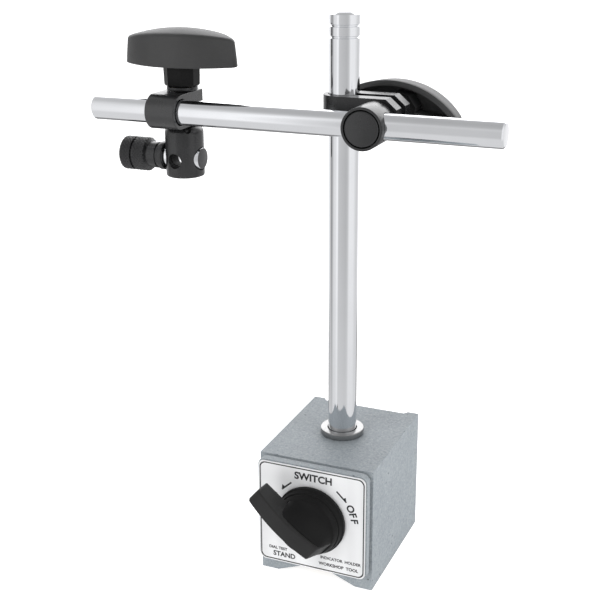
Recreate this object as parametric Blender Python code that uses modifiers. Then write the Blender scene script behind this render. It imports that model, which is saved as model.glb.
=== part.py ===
"""Switchable magnet base with a round column, a cross arm and a swivelling stem holder.

The frame used for every size below stands on the column's axis at the floor: +X runs along the
cross arm to its bare end, +Y to the back of the base, and +Z up. Lengths are in millimetres and
are turned to metres where an object is made. The whole model hangs on one empty that puts the
middle of its footprint at the world's origin.
"""

import math

import bmesh
import bpy
from mathutils import Matrix, Vector

MM = 0.001
GAP = 0.3
STEPS = 32
SMALL_STEPS = 16

# Magnet block
BLOCK_WIDTH = 50.0
BLOCK_DEPTH = 60.0
BLOCK_HEIGHT = 55.0
VEE_HALF_WIDTH = 17.5
VEE_DEPTH = 6.9
CHANNEL_HALF_WIDTH = 20.0
CHANNEL_SLOPE = 1.2
CHANNEL_DEPTH = 2.0
SPACER_HALF = 2.0
SWITCH_Z = 31.0
BORE_RADIUS = 15.0
BORE_END_Y = 23.3
FRONT_Y = -BLOCK_DEPTH / 2
BACK_Y = BLOCK_DEPTH / 2

# Front cover, its seal and its nameplate
GASKET_THICKNESS = 0.5
COVER_THICKNESS = 3.3
COVER_HALF_WIDTH = 24.1
COVER_LOW_Z = 7.2
COVER_HIGH_Z = 54.6
COVER_CORNER = 3.0
PLATE_THICKNESS = 0.4
PLATE_INSET = 0.45
GASKET_BACK = FRONT_Y - GAP
COVER_BACK = GASKET_BACK - GASKET_THICKNESS - GAP
COVER_FRONT = COVER_BACK - COVER_THICKNESS
PLATE_BACK = COVER_FRONT - GAP
PLATE_FRONT = PLATE_BACK - PLATE_THICKNESS
SCREW_SPREAD = 18.5
SCREW_RADIUS = 1.3
SCREW_HEAD_RADIUS = 2.8
SCREW_LENGTH = 10.0

# Rotor and switch
ROTOR_RADIUS = 14.6
ROTOR_FRONT = -24.3
ROTOR_BACK = 20.0
END_THICKNESS = 2.6
MAGNET_HALF_THICKNESS = 5.5
MAGNET_HALF_HEIGHT = 13.4
SPINDLE_RADIUS = 4.0
JOURNAL_RADIUS = 3.6
STOP_PIN_RADIUS = 1.5
STOP_CIRCLE = 10.5
SWITCH_TRAVEL = 90.0
LEVER_ANGLE = 140.0
KNOB_BACK = PLATE_FRONT - GAP
KNOB_RADIUS = 15.1
KNOB_TOP_RADIUS = 12.6
KNOB_TOP_Y = -42.4
LEVER_HALF_WIDTH = 3.8
LEVER_TIP = 24.5
LEVER_TAIL = 12.0
LEVER_FRONT_TAIL = 8.8
LEVER_UNDER_Y = -43.2
LEVER_END_Y = -51.5
LEVER_CROWN_Y = -53.8
KNOB_PIN_RADIUS = 0.9
KNOB_PIN_Y = -39.6

# Column and its collar
COLUMN_RADIUS = 6.0
COLUMN_TOP = 232.0
COLUMN_FOOT = BLOCK_HEIGHT + GAP
SPIGOT_RADIUS = 4.0
SPIGOT_LENGTH = 7.0
COLLAR_RADIUS = 9.25
COLLAR_HEIGHT = 2.5
COLUMN_GROOVES = (226.9, 222.6)
GROOVE_WIDTH = 0.9
GROOVE_DEPTH = 0.4

# Column clamp
ARM_Z = 192.0
ARM_Y = -16.0
STUD_X = 15.9
CLAMP_RADIUS = 8.2
CLAMP_BELOW_ARM = 6.4
CLAMP_ABOVE_ARM = 8.8
CLAMP_END_X = 24.2
CLAMP_CORNER_X = 19.8
CLAMP_CORNER_RISE = 3.8
CLAMP_SLIT_HALF = 2.4
STUD_RADIUS = 6.8
STUD_FRONT = -24.3
SLEEVE_RADIUS = 8.2
SLEEVE_FRONT = -24.2
BOLT_RADIUS = 3.0
BOLT_HOLE_RADIUS = 3.4
WASHER_RADIUS = 6.4
WASHER_THICKNESS = 1.4

# Cross arm
ARM_RADIUS = 5.0
ARM_LEFT = -103.55
ARM_RIGHT = 68.1
ARM_EDGE = 0.7
ARM_HOLE_RADIUS = ARM_RADIUS + GAP

# Wing knobs
HUB_RADIUS = 7.5
HUB_HEIGHT = 8.3
WING_ARC = 36.0
WING_HALF_WIDTH = 11.7
WING_ARC_END = 23.9
WING_HEIGHT = 14.8
WING_CEILING = 9.0
WING_WALL = 2.2
WING_DRAFT = 0.8
WING_SAG_LONG = 72.0
WING_SAG_ACROSS = 31.0
WING_RIB = 0.9
INSERT_RADIUS = 4.7
INSERT_LENGTH = 11.0
REAR_KNOB_TILT = 9.5

# Indicator clamp and stem holder
HOLDER_X = -69.2
HOLDER_Y = -4.5
BAND_RADIUS = 7.0
BAND_LEFT = -76.8
BAND_RIGHT = -63.6
BAND_BACK = 2.6
BAND_SLIT_HALF = 2.0
HOLDER_RADIUS = 8.05
HOLDER_LOW = 163.6
HOLDER_HIGH = ARM_Z - BAND_RADIUS - GAP
HOLDER_SHOULDER = 3.0
STEM_X = HOLDER_X - 0.8
STEM_Z = 170.8
STEM_RADIUS = 3.1
PIN_Z = 171.2
PIN_BORE_RADIUS = 4.85
PIN_RADIUS = 4.5
PIN_RIGHT = -60.8
PIN_SHANK_LEFT = -79.0
PIN_THREAD_RADIUS = 2.5
DRAW_WASHER_RADIUS = 5.9
DRAW_WASHER_THICKNESS = 2.35
NUT_RADIUS = 7.1
NUT_NECK_RADIUS = 5.45
NUT_BOSS_RADIUS = 5.0
NUT_BOSS_LENGTH = 1.0
NUT_NECK_LENGTH = 5.0
NUT_LENGTH = 17.5
NUT_GROOVE = 5.95

REAR_KNOB_FOOT = CLAMP_RADIUS + GAP + WASHER_THICKNESS + GAP
REAR_KNOB_CROWN = REAR_KNOB_FOOT + HUB_HEIGHT + WING_HEIGHT
MODEL_MIDDLE = Vector(((ARM_LEFT + ARM_RIGHT) / 2, (LEVER_CROWN_Y + REAR_KNOB_CROWN) / 2, 0.0))

AXES = {
    "X": Matrix.Rotation(math.radians(90), 4, "Y"),
    "Y": Matrix.Rotation(math.radians(-90), 4, "X"),
    "Z": Matrix.Identity(4),
}

LOOKS = {
    "enamel": ((0.36, 0.40, 0.43, 1), 0.45, 0.0),
    "brass": ((0.70, 0.52, 0.24, 1), 0.35, 1.0),
    "seal": ((0.03, 0.03, 0.03, 1), 0.80, 0.0),
    "plate": ((0.78, 0.79, 0.80, 1), 0.35, 1.0),
    "plastic": ((0.025, 0.025, 0.027, 1), 0.50, 0.0),
    "black_oxide": ((0.035, 0.036, 0.040, 1), 0.35, 0.0),
    "chrome": ((0.80, 0.80, 0.82, 1), 0.10, 1.0),
    "steel": ((0.52, 0.53, 0.55, 1), 0.35, 1.0),
    "magnet": ((0.16, 0.16, 0.17, 1), 0.60, 0.0),
}


def clear_scene():
    for obj in list(bpy.data.objects):
        bpy.data.objects.remove(obj, do_unlink=True)


def make_collection(name):
    made = bpy.data.collections.new(name)
    bpy.context.scene.collection.children.link(made)
    return made


clear_scene()
PARTS = make_collection("magnetic_stand")
CUTTERS = make_collection("cutters")


def make_look(name):
    colour, roughness, metallic = LOOKS[name]
    look = bpy.data.materials.new(name)
    look.use_nodes = True
    shader = look.node_tree.nodes["Principled BSDF"]
    shader.inputs["Base Color"].default_value = colour
    shader.inputs["Roughness"].default_value = roughness
    shader.inputs["Metallic"].default_value = metallic
    look.diffuse_color = colour
    return look


# Empties: one for the whole model, and one on each joint's axis.


def make_empty(name, at, parent=None):
    empty = bpy.data.objects.new(name, None)
    PARTS.objects.link(empty)
    empty.parent = parent
    offset = parent["at_mm"] if parent else (0.0, 0.0, 0.0)
    empty["at_mm"] = tuple(at)
    empty.location = (Vector(at) - Vector(offset)) * MM
    return empty


ROOT = make_empty("stand", (0.0, 0.0, 0.0))
ROOT.location = -MODEL_MIDDLE * MM
SWITCH = make_empty("switch_axis", (0.0, 0.0, SWITCH_Z), ROOT)
COLUMN = make_empty("column_axis", (0.0, 0.0, COLUMN_FOOT), ROOT)
CLAMP = make_empty("clamp_axis", (0.0, 0.0, ARM_Z), COLUMN)
STUD = make_empty("stud_axis", (STUD_X, 0.0, ARM_Z), CLAMP)
REAR_KNOB = make_empty("rear_knob_axis", (STUD_X, 0.0, ARM_Z), STUD)
ARM = make_empty("arm_axis", (STUD_X, ARM_Y, ARM_Z), STUD)
BAND = make_empty("band_axis", (HOLDER_X, ARM_Y, ARM_Z), ARM)
TOP_KNOB = make_empty("top_knob_axis", (HOLDER_X, HOLDER_Y, ARM_Z), BAND)
HOLDER = make_empty("holder_axis", (HOLDER_X, HOLDER_Y, ARM_Z), BAND)
DRAW = make_empty("draw_axis", (HOLDER_X, HOLDER_Y, PIN_Z), HOLDER)


# Basic solids. Each is made with its mesh about its own origin, and hangs on its joint's empty.


def hang(obj, parent, matrix):
    """Puts an object on an empty, where matrix places it in the column's frame, in millimetres."""
    placed = matrix.copy()
    placed.translation = (matrix.translation - Vector(parent["at_mm"])) * MM
    obj.parent = parent
    obj.matrix_local = placed


def new_object(name, data, parent, matrix):
    obj = bpy.data.objects.new(name, data)
    PARTS.objects.link(obj)
    hang(obj, parent, matrix)
    return obj


def from_bmesh(name, mesh_maker, parent, matrix):
    shape = bmesh.new()
    mesh_maker(shape)
    mesh = bpy.data.meshes.new(name)
    shape.to_mesh(mesh)
    shape.free()
    return new_object(name, mesh, parent, matrix)


def box(name, low, high, parent=ROOT, turn=Matrix.Identity(4)):
    """A box between two corners. A turn is about the parent's origin, and low and high are then from it."""
    low, high = Vector(low), Vector(high)
    size = high - low

    def make(shape):
        bmesh.ops.create_cube(shape, size=MM)
        bmesh.ops.scale(shape, vec=size, verts=shape.verts)

    middle = Matrix.Translation((low + high) / 2)
    return from_bmesh(name, make, parent, middle if turn.is_identity else turned_about(parent, turn, middle))


def turned_about(parent, turn, matrix):
    return Matrix.Translation(Vector(parent["at_mm"])) @ turn @ matrix


def rod(name, axis, at, start, end, radius, parent=ROOT, steps=STEPS, end_radius=None):
    """A cylinder or cone along an axis: at gives the two places across the axis, start and end those along it."""
    length = end - start

    def make(shape):
        bmesh.ops.create_cone(
            shape,
            cap_ends=True,
            segments=steps,
            radius1=radius * MM,
            radius2=(radius if end_radius is None else end_radius) * MM,
            depth=length * MM,
        )

    return from_bmesh(name, make, parent, on_axis(axis, at, (start + end) / 2))


def on_axis(axis, at, along):
    place = list(at)
    place.insert("XYZ".index(axis), along)
    return Matrix.Translation(place) @ AXES[axis]


def turned(name, axis, at, profile, parent=ROOT, steps=STEPS):
    """A turned piece. The profile's (radius, place along the axis) points run down its outside from the top end."""
    mesh = bpy.data.meshes.new(name)
    points = [(radius * MM, 0.0, along * MM) for radius, along in profile]
    mesh.from_pydata(points, [(i, i + 1) for i in range(len(points) - 1)], [])
    obj = new_object(name, mesh, parent, on_axis(axis, at, 0.0))
    screw = obj.modifiers.new("turn", "SCREW")
    screw.steps = steps
    screw.render_steps = steps
    screw.use_merge_vertices = True
    screw.merge_threshold = 0.00001
    return obj


def ring(name, axis, at, start, end, inner, outer, parent=ROOT, steps=STEPS):
    profile = [(inner, end), (outer, end), (outer, start), (inner, start), (inner, end)]
    return turned(name, axis, at, profile, parent, steps)


def prism(name, outline, axis, low, high, parent=ROOT, at=(0.0, 0.0)):
    """A flat outline pushed along an axis from low to high. The outline's first axis is world X, except along X."""
    curve = bpy.data.curves.new(name, "CURVE")
    curve.dimensions = "2D"
    curve.fill_mode = "BOTH"
    curve.extrude = (high - low) / 2 * MM
    spline = curve.splines.new("POLY")
    spline.points.add(len(outline) - 1)
    for point, (across, up) in zip(spline.points, outline):
        point.co = ((across + at[0]) * MM, (up + at[1]) * MM, 0.0, 1.0)
    spline.use_cyclic_u = True
    flat = bpy.data.objects.new(name + "_outline", curve)
    PARTS.objects.link(flat)
    graph = bpy.context.evaluated_depsgraph_get()
    mesh = bpy.data.meshes.new_from_object(flat.evaluated_get(graph))
    mesh.name = name
    bpy.data.objects.remove(flat, do_unlink=True)
    shape = bmesh.new()
    shape.from_mesh(mesh)
    bmesh.ops.remove_doubles(shape, verts=shape.verts, dist=0.000001)
    bmesh.ops.recalc_face_normals(shape, faces=shape.faces)
    shape.to_mesh(mesh)
    shape.free()
    middle = (low + high) / 2
    if axis == "Y":
        place = Matrix.Translation((0.0, middle, 0.0)) @ Matrix.Rotation(math.radians(90), 4, "X")
    else:
        place = Matrix.Translation((0.0, 0.0, middle))
    return new_object(name, mesh, parent, place)


def arc(centre, radius, start, end, steps):
    """Points from start to end degrees round a centre."""
    angles = [math.radians(start + (end - start) * i / steps) for i in range(steps + 1)]
    return [(centre[0] + radius * math.cos(a), centre[1] + radius * math.sin(a)) for a in angles]


def rounded_rectangle(left, low, right, high, radius, steps=6):
    corners = ((right - radius, high - radius, 0), (left + radius, high - radius, 90),
               (left + radius, low + radius, 180), (right - radius, low + radius, 270))
    return [p for x, y, a in corners for p in arc((x, y), radius, a, a + 90, steps)]


# Modifiers


def use_as_tool(tool):
    for home in list(tool.users_collection):
        home.objects.unlink(tool)
    CUTTERS.objects.link(tool)
    tool.hide_render = True
    tool.display_type = "WIRE"


def combine(obj, tools, operation):
    for tool in tools:
        use_as_tool(tool)
        step = obj.modifiers.new(tool.name, "BOOLEAN")
        step.operation = operation
        step.solver = "EXACT"
        step.object = tool


def cut(obj, *tools):
    combine(obj, tools, "DIFFERENCE")


def join(obj, *tools):
    combine(obj, tools, "UNION")


def keep(obj, *tools):
    combine(obj, tools, "INTERSECT")


def soften(obj, width, segments=2, angle=40.0):
    bevel = obj.modifiers.new("edges", "BEVEL")
    bevel.width = width * MM
    bevel.segments = segments
    bevel.limit_method = "ANGLE"
    bevel.angle_limit = math.radians(angle)


def finish(obj, look):
    """Gives a piece its material and smooth shading with sharp edges."""
    obj.data.materials.clear()
    obj.data.materials.append(MATERIALS[look])
    if obj.data.polygons:
        obj.data.shade_smooth()
        obj.data.set_sharp_from_angle(angle=math.radians(35))
    return obj


MATERIALS = {name: make_look(name) for name in LOOKS}


# Magnet block


def vee_height(x):
    return VEE_DEPTH * (1 - abs(x) / VEE_HALF_WIDTH)


def channel_tool(name):
    channel = [(-CHANNEL_HALF_WIDTH, BACK_Y + 1), (-CHANNEL_HALF_WIDTH, BACK_Y),
               (CHANNEL_SLOPE - CHANNEL_HALF_WIDTH, BACK_Y - CHANNEL_DEPTH),
               (CHANNEL_HALF_WIDTH - CHANNEL_SLOPE, BACK_Y - CHANNEL_DEPTH),
               (CHANNEL_HALF_WIDTH, BACK_Y), (CHANNEL_HALF_WIDTH, BACK_Y + 1)]
    return prism(name + "_channel", channel, "Z", -1, BLOCK_HEIGHT + 1)


def block_tools(name):
    """What is cut out of each pole half and of the spacer."""
    return [
        rod(name + "_bore", "Y", (0, SWITCH_Z), FRONT_Y - 1, BORE_END_Y, BORE_RADIUS, steps=48),
        rod(name + "_pocket", "Y", (0, SWITCH_Z), BORE_END_Y - 1, BORE_END_Y + 4, 5.0, steps=SMALL_STEPS),
        rod(name + "_socket", "Z", (0, 0), COLUMN_FOOT - SPIGOT_LENGTH - 1, BLOCK_HEIGHT + 1, SPIGOT_RADIUS + GAP,
            steps=SMALL_STEPS),
    ]


def make_pole(name, side):
    inner = SPACER_HALF + GAP
    outline = [(side * x, z) for x, z in (
        (BLOCK_WIDTH / 2, 0), (BLOCK_WIDTH / 2, BLOCK_HEIGHT), (inner, BLOCK_HEIGHT),
        (inner, vee_height(inner)), (VEE_HALF_WIDTH, 0))]
    pole = prism(name, outline, "Y", FRONT_Y, BACK_Y)
    cut(pole, *block_tools(name), channel_tool(name))
    for z in (SWITCH_Z - SCREW_SPREAD, SWITCH_Z + SCREW_SPREAD):
        hole = rod(f"{name}_hole_{z:.0f}", "Y", (side * SCREW_SPREAD, z), FRONT_Y - 1, FRONT_Y + 7,
                   SCREW_RADIUS + GAP, steps=12)
        cut(pole, hole)
    finish(pole, "enamel")


def make_spacer():
    low = (-SPACER_HALF, FRONT_Y, VEE_DEPTH + GAP)
    high = (SPACER_HALF, BACK_Y - CHANNEL_DEPTH - GAP, BLOCK_HEIGHT)
    spacer = box("pole_spacer", low, high)
    cut(spacer, *block_tools("pole_spacer"))
    finish(spacer, "brass")


def cover_outline(inset, corner):
    return rounded_rectangle(inset - COVER_HALF_WIDTH, COVER_LOW_Z + inset, COVER_HALF_WIDTH - inset,
                             COVER_HIGH_Z - inset, corner)


def screw_places():
    for row, z in (("lower", SWITCH_Z - SCREW_SPREAD), ("upper", SWITCH_Z + SCREW_SPREAD)):
        for side, x in (("left", -SCREW_SPREAD), ("right", SCREW_SPREAD)):
            yield f"{row}_{side}", (x, z)


def make_cover():
    gasket = prism("cover_gasket", cover_outline(0.8, 2.2), "Y", GASKET_BACK - GASKET_THICKNESS, GASKET_BACK)
    cut(gasket, rod("gasket_middle", "Y", (0, SWITCH_Z), COVER_BACK, FRONT_Y, BORE_RADIUS))
    cover = prism("front_cover", cover_outline(0, COVER_CORNER), "Y", COVER_FRONT, COVER_BACK)
    cut(cover, rod("cover_middle", "Y", (0, SWITCH_Z), COVER_FRONT - 1, COVER_BACK + 1, 6.3))
    stop_at = stop_pin_place()
    cut(cover, rod("cover_stop_hole", "Y", stop_at, COVER_BACK - 2, COVER_BACK + 1, STOP_PIN_RADIUS + GAP, steps=12))
    for name, at in screw_places():
        clear = SCREW_RADIUS + GAP
        cut(gasket, rod(f"gasket_hole_{name}", "Y", at, COVER_BACK, FRONT_Y, clear, steps=12))
        cut(cover, rod(f"cover_hole_{name}", "Y", at, COVER_FRONT - 1, COVER_BACK + 1, clear, steps=12))
        sink = rod(f"cover_sink_{name}", "Y", at, COVER_FRONT - 0.1, COVER_FRONT + 2.1, SCREW_HEAD_RADIUS + 0.4,
                   steps=16, end_radius=clear - 0.2)
        cut(cover, sink)
        make_cover_screw(f"cover_screw_{name}", at)
    finish(gasket, "seal")
    finish(cover, "enamel")


def make_cover_screw(name, at):
    head_y = COVER_FRONT + 0.1
    tip = head_y + SCREW_LENGTH
    profile = [(0, tip), (SCREW_RADIUS - 0.3, tip), (SCREW_RADIUS, tip - 0.4), (SCREW_RADIUS, head_y + 1.5),
               (SCREW_HEAD_RADIUS, head_y + 0.2), (SCREW_HEAD_RADIUS, head_y), (0, head_y)]
    screw = turned(name, "Y", at, profile, steps=12)
    socket = prism(name + "_hex", arc(at, 0.9, 0, 300, 5), "Y", head_y - 1, head_y + 0.9)
    cut(screw, socket)
    finish(screw, "steel")


def make_nameplate():
    plate = prism("nameplate", cover_outline(PLATE_INSET, COVER_CORNER - PLATE_INSET), "Y", PLATE_FRONT, PLATE_BACK)
    cut(plate, rod("nameplate_middle", "Y", (0, SWITCH_Z), PLATE_FRONT - 1, PLATE_BACK + 1, 8.0))
    finish(plate, "plate")


# Rotor


def stop_pin_place():
    return (0.0, SWITCH_Z - STOP_CIRCLE)


def make_bushes():
    front = ring("spindle_bush", "Y", (0, SWITCH_Z), COVER_FRONT + 0.1, FRONT_Y + 2, SPINDLE_RADIUS + 0.1, 6.0,
                 steps=SMALL_STEPS)
    finish(front, "brass")
    rear = ring("journal_bush", "Y", (0, SWITCH_Z), BORE_END_Y + GAP, BORE_END_Y + 3.7, JOURNAL_RADIUS + 0.1, 4.7,
                steps=SMALL_STEPS)
    finish(rear, "brass")


def make_rotor():
    magnet = box("rotor_magnet", (-MAGNET_HALF_THICKNESS, ROTOR_FRONT, SWITCH_Z - MAGNET_HALF_HEIGHT),
                 (MAGNET_HALF_THICKNESS, ROTOR_BACK, SWITCH_Z + MAGNET_HALF_HEIGHT), SWITCH)
    finish(magnet, "magnet")
    for name, side in (("rotor_shoe_left", -1), ("rotor_shoe_right", 1)):
        shoe = rod(name, "Y", (0, SWITCH_Z), ROTOR_FRONT, ROTOR_BACK, ROTOR_RADIUS, SWITCH)
        near = side * (MAGNET_HALF_THICKNESS + GAP)
        far = side * (ROTOR_RADIUS + 1)
        half = box(name + "_half", (min(near, far), ROTOR_FRONT - 1, SWITCH_Z - 20),
                   (max(near, far), ROTOR_BACK + 1, SWITCH_Z + 20), SWITCH)
        keep(shoe, half)
        finish(shoe, "steel")


def make_rotor_ends():
    """The front end carries the spindle and the slot that the stop pin rides in; the rear end is a plain journal."""
    inner = ROTOR_FRONT - GAP
    outer = inner - END_THICKNESS
    profile = [(0, inner), (ROTOR_RADIUS, inner), (ROTOR_RADIUS, outer), (SPINDLE_RADIUS, outer),
               (SPINDLE_RADIUS, KNOB_TOP_Y - 1.5), (0, KNOB_TOP_Y - 1.5)]
    front = turned("rotor_front_end", "Y", (0, SWITCH_Z), profile, SWITCH)
    reach = STOP_PIN_RADIUS + 0.6
    spare = math.degrees(reach / STOP_CIRCLE)
    centre = (0.0, SWITCH_Z)
    slot = (arc(centre, STOP_CIRCLE + reach, -90 - spare, SWITCH_TRAVEL - 90 + spare, 12)
            + arc(centre, STOP_CIRCLE - reach, SWITCH_TRAVEL - 90 + spare, -90 - spare, 12))
    cut(front, prism("stop_slot", slot, "Y", outer - 1, inner + 1))
    cut(front, lever_rod("spindle_pin_hole", KNOB_PIN_Y, -6, 6, KNOB_PIN_RADIUS + GAP))
    finish(front, "steel")
    near = ROTOR_BACK + GAP
    profile = [(0, near + END_THICKNESS + 4), (JOURNAL_RADIUS, near + END_THICKNESS + 4),
               (JOURNAL_RADIUS, near + END_THICKNESS), (ROTOR_RADIUS, near + END_THICKNESS), (ROTOR_RADIUS, near),
               (0, near)]
    rear = turned("rotor_rear_end", "Y", (0, SWITCH_Z), profile, SWITCH)
    finish(rear, "steel")


def make_stop_pin():
    back = ROTOR_FRONT - GAP - 0.3
    pin = rod("stop_pin", "Y", stop_pin_place(), COVER_BACK - 1.7, back, STOP_PIN_RADIUS, steps=12)
    finish(pin, "steel")


# Switch knob. Its lever leans LEVER_ANGLE degrees from +X, and its pin crosses it at a right angle.


def lever_frame():
    """Local +X runs along the lever to its pointer end, and local +Z to the back of the base."""
    along = Vector((math.cos(math.radians(LEVER_ANGLE)), 0.0, math.sin(math.radians(LEVER_ANGLE))))
    back = Vector((0.0, 1.0, 0.0))
    across = back.cross(along)
    return Matrix((along, across, back)).transposed().to_4x4()


def lever_rod(name, y, start, end, radius):
    """A round tool square across the lever."""
    turn = lever_frame()
    shape = rod(name, "Y", (0, SWITCH_Z), start, end, radius, SWITCH, steps=12)
    middle = Matrix.Translation((0.0, (start + end) / 2, 0.0)) @ AXES["Y"]
    lift = Matrix.Translation((0.0, y, 0.0))
    hang(shape, SWITCH, turned_about(SWITCH, lift @ turn, middle))
    return shape


def lever_outline():
    """The lever seen from its side: along it, and back from its front."""
    span = (LEVER_TIP - 0.5) + LEVER_FRONT_TAIL
    rise = LEVER_END_Y - LEVER_CROWN_Y
    radius = (span * span / 4 + rise * rise) / (2 * rise)
    middle = (LEVER_TIP - 0.5 - LEVER_FRONT_TAIL) / 2
    half = math.degrees(math.asin(span / 2 / radius))
    crown = arc((middle, LEVER_CROWN_Y + radius), radius, 270 + half, 270 - half, 12)
    return crown + [(-LEVER_TAIL, KNOB_TOP_Y + 1), (KNOB_TOP_RADIUS - 1, KNOB_TOP_Y + 1),
                    (KNOB_TOP_RADIUS - 1, LEVER_UNDER_Y), (LEVER_TIP, LEVER_UNDER_Y)]


def make_switch_knob():
    profile = [(0, KNOB_BACK), (KNOB_RADIUS, KNOB_BACK), (KNOB_RADIUS, KNOB_BACK - 1.5), (14.5, KNOB_BACK - 1.7),
               (14.0, KNOB_BACK - 3.9), (13.4, KNOB_BACK - 4.1), (13.4, KNOB_BACK - 4.5), (13.7, KNOB_BACK - 4.7),
               (KNOB_TOP_RADIUS, KNOB_TOP_Y), (0, KNOB_TOP_Y)]
    knob = turned("switch_knob", "Y", (0, SWITCH_Z), profile, SWITCH, steps=40)
    lever = prism("switch_lever", lever_outline(), "Z", -LEVER_HALF_WIDTH, LEVER_HALF_WIDTH, SWITCH)
    outline_to_lever = Matrix(((1, 0, 0), (0, 0, 1), (0, 1, 0))).to_4x4()
    hang(lever, SWITCH, turned_about(SWITCH, lever_frame(), outline_to_lever))
    soften(lever, 1.0, 2)
    join(knob, lever)
    cut(knob, rod("knob_socket", "Y", (0, SWITCH_Z), KNOB_TOP_Y - 2, KNOB_BACK + 1, SPINDLE_RADIUS + GAP, SWITCH))
    cut(knob, lever_rod("knob_pin_hole", KNOB_PIN_Y, -KNOB_RADIUS - 1, 6.6, KNOB_PIN_RADIUS + GAP))
    finish(knob, "plastic")
    pin = lever_rod("knob_pin", KNOB_PIN_Y, -12.0, 6.0, KNOB_PIN_RADIUS)
    finish(pin, "steel")


# Column


def make_column():
    groove = GROOVE_WIDTH / 2
    profile = [(0, COLUMN_TOP), (4.2, COLUMN_TOP), (COLUMN_RADIUS, COLUMN_TOP - 1.1)]
    for z in COLUMN_GROOVES:
        profile += [(COLUMN_RADIUS, z + groove), (COLUMN_RADIUS - GROOVE_DEPTH, z + groove / 2),
                    (COLUMN_RADIUS - GROOVE_DEPTH, z - groove / 2), (COLUMN_RADIUS, z - groove)]
    low = COLUMN_FOOT - SPIGOT_LENGTH
    profile += [(COLUMN_RADIUS, COLUMN_FOOT), (SPIGOT_RADIUS, COLUMN_FOOT), (SPIGOT_RADIUS, low + 0.6),
                (SPIGOT_RADIUS - 0.6, low), (0, low)]
    finish(turned("column", "Z", (0, 0), profile, COLUMN), "chrome")
    top = COLUMN_FOOT + COLLAR_HEIGHT
    edge = 0.3
    profile = [(COLUMN_RADIUS + GAP, top), (COLLAR_RADIUS - edge, top), (COLLAR_RADIUS, top - edge),
               (COLLAR_RADIUS, COLUMN_FOOT), (COLUMN_RADIUS + GAP, COLUMN_FOOT), (COLUMN_RADIUS + GAP, top)]
    finish(turned("column_collar", "Z", (0, 0), profile), "steel")


# Column clamp


def make_clamp_block():
    low, high = ARM_Z - CLAMP_BELOW_ARM, ARM_Z + CLAMP_ABOVE_ARM
    block = rod("clamp_block", "Z", (0, 0), low, high, CLAMP_RADIUS, CLAMP)
    outline = [(0, low), (CLAMP_CORNER_X, low), (CLAMP_END_X, low + CLAMP_CORNER_RISE),
               (CLAMP_END_X, high - CLAMP_CORNER_RISE), (CLAMP_CORNER_X, high), (0, high)]
    join(block, prism("clamp_ears", outline, "Y", -CLAMP_RADIUS, CLAMP_RADIUS, CLAMP))
    cut(block, rod("clamp_bore", "Z", (0, 0), low - 1, high + 1, COLUMN_RADIUS + GAP, CLAMP))
    cut(block, box("clamp_slit", (0, -CLAMP_SLIT_HALF, low - 1), (30, CLAMP_SLIT_HALF, high + 1), CLAMP))
    cut(block, rod("clamp_bolt_hole", "Y", (STUD_X, ARM_Z), -10, 10, BOLT_HOLE_RADIUS, CLAMP))
    soften(block, 0.4, 1, 50)
    finish(block, "black_oxide")


def arm_hole(name, start, end):
    return rod(name, "X", (ARM_Y, ARM_Z), start, end, ARM_HOLE_RADIUS, STUD)


def make_stud():
    shoulder = -CLAMP_RADIUS - 0.8
    rear = CLAMP_RADIUS + GAP + WASHER_THICKNESS + HUB_HEIGHT + 5
    profile = [(0, rear), (BOLT_RADIUS - 0.5, rear), (BOLT_RADIUS, rear - 0.5), (BOLT_RADIUS, shoulder),
               (STUD_RADIUS, shoulder), (STUD_RADIUS, STUD_FRONT + 0.3), (STUD_RADIUS - 0.3, STUD_FRONT),
               (0, STUD_FRONT - 0.5)]
    stud = turned("clamp_stud", "Y", (STUD_X, ARM_Z), profile, STUD)
    cut(stud, arm_hole("stud_hole", STUD_X - 12, STUD_X + 12))
    finish(stud, "black_oxide")
    back = -CLAMP_RADIUS - GAP
    profile = [(STUD_RADIUS + GAP, back), (SLEEVE_RADIUS, back), (SLEEVE_RADIUS, SLEEVE_FRONT + 0.4),
               (SLEEVE_RADIUS - 0.4, SLEEVE_FRONT), (STUD_RADIUS + GAP, SLEEVE_FRONT), (STUD_RADIUS + GAP, back)]
    sleeve = turned("clamp_sleeve", "Y", (STUD_X, ARM_Z), profile, STUD)
    cut(sleeve, arm_hole("sleeve_hole", STUD_X - 12, STUD_X + 12))
    finish(sleeve, "black_oxide")


# Wing knobs, made with +Z from the hub's foot to the crown


def wing_outline(inset):
    """Two long arcs that meet in round ends."""
    centre = WING_HALF_WIDTH - WING_ARC
    reach = math.degrees(math.asin(WING_ARC_END / WING_ARC))
    upper = arc((0, centre), WING_ARC - inset, 90 - reach, 90 + reach, 12)
    tip_x = WING_ARC_END
    tip_y = math.sqrt(WING_ARC ** 2 - WING_ARC_END ** 2) + centre
    end_radius = tip_y / math.cos(math.radians(reach))
    end_x = tip_x - end_radius * math.sin(math.radians(reach))
    left = arc((-end_x, 0), end_radius - inset, 90 + reach, 270 - reach, 6)
    lower = [(-x, -y) for x, y in upper]
    right = [(-x, -y) for x, y in left]
    return upper + left[1:-1] + lower + right[1:-1]


def dome_height(x, y):
    """How far the crown has fallen at a place on the cap."""
    return x * x / (2 * WING_SAG_LONG) + y * y / (2 * WING_SAG_ACROSS)


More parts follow.
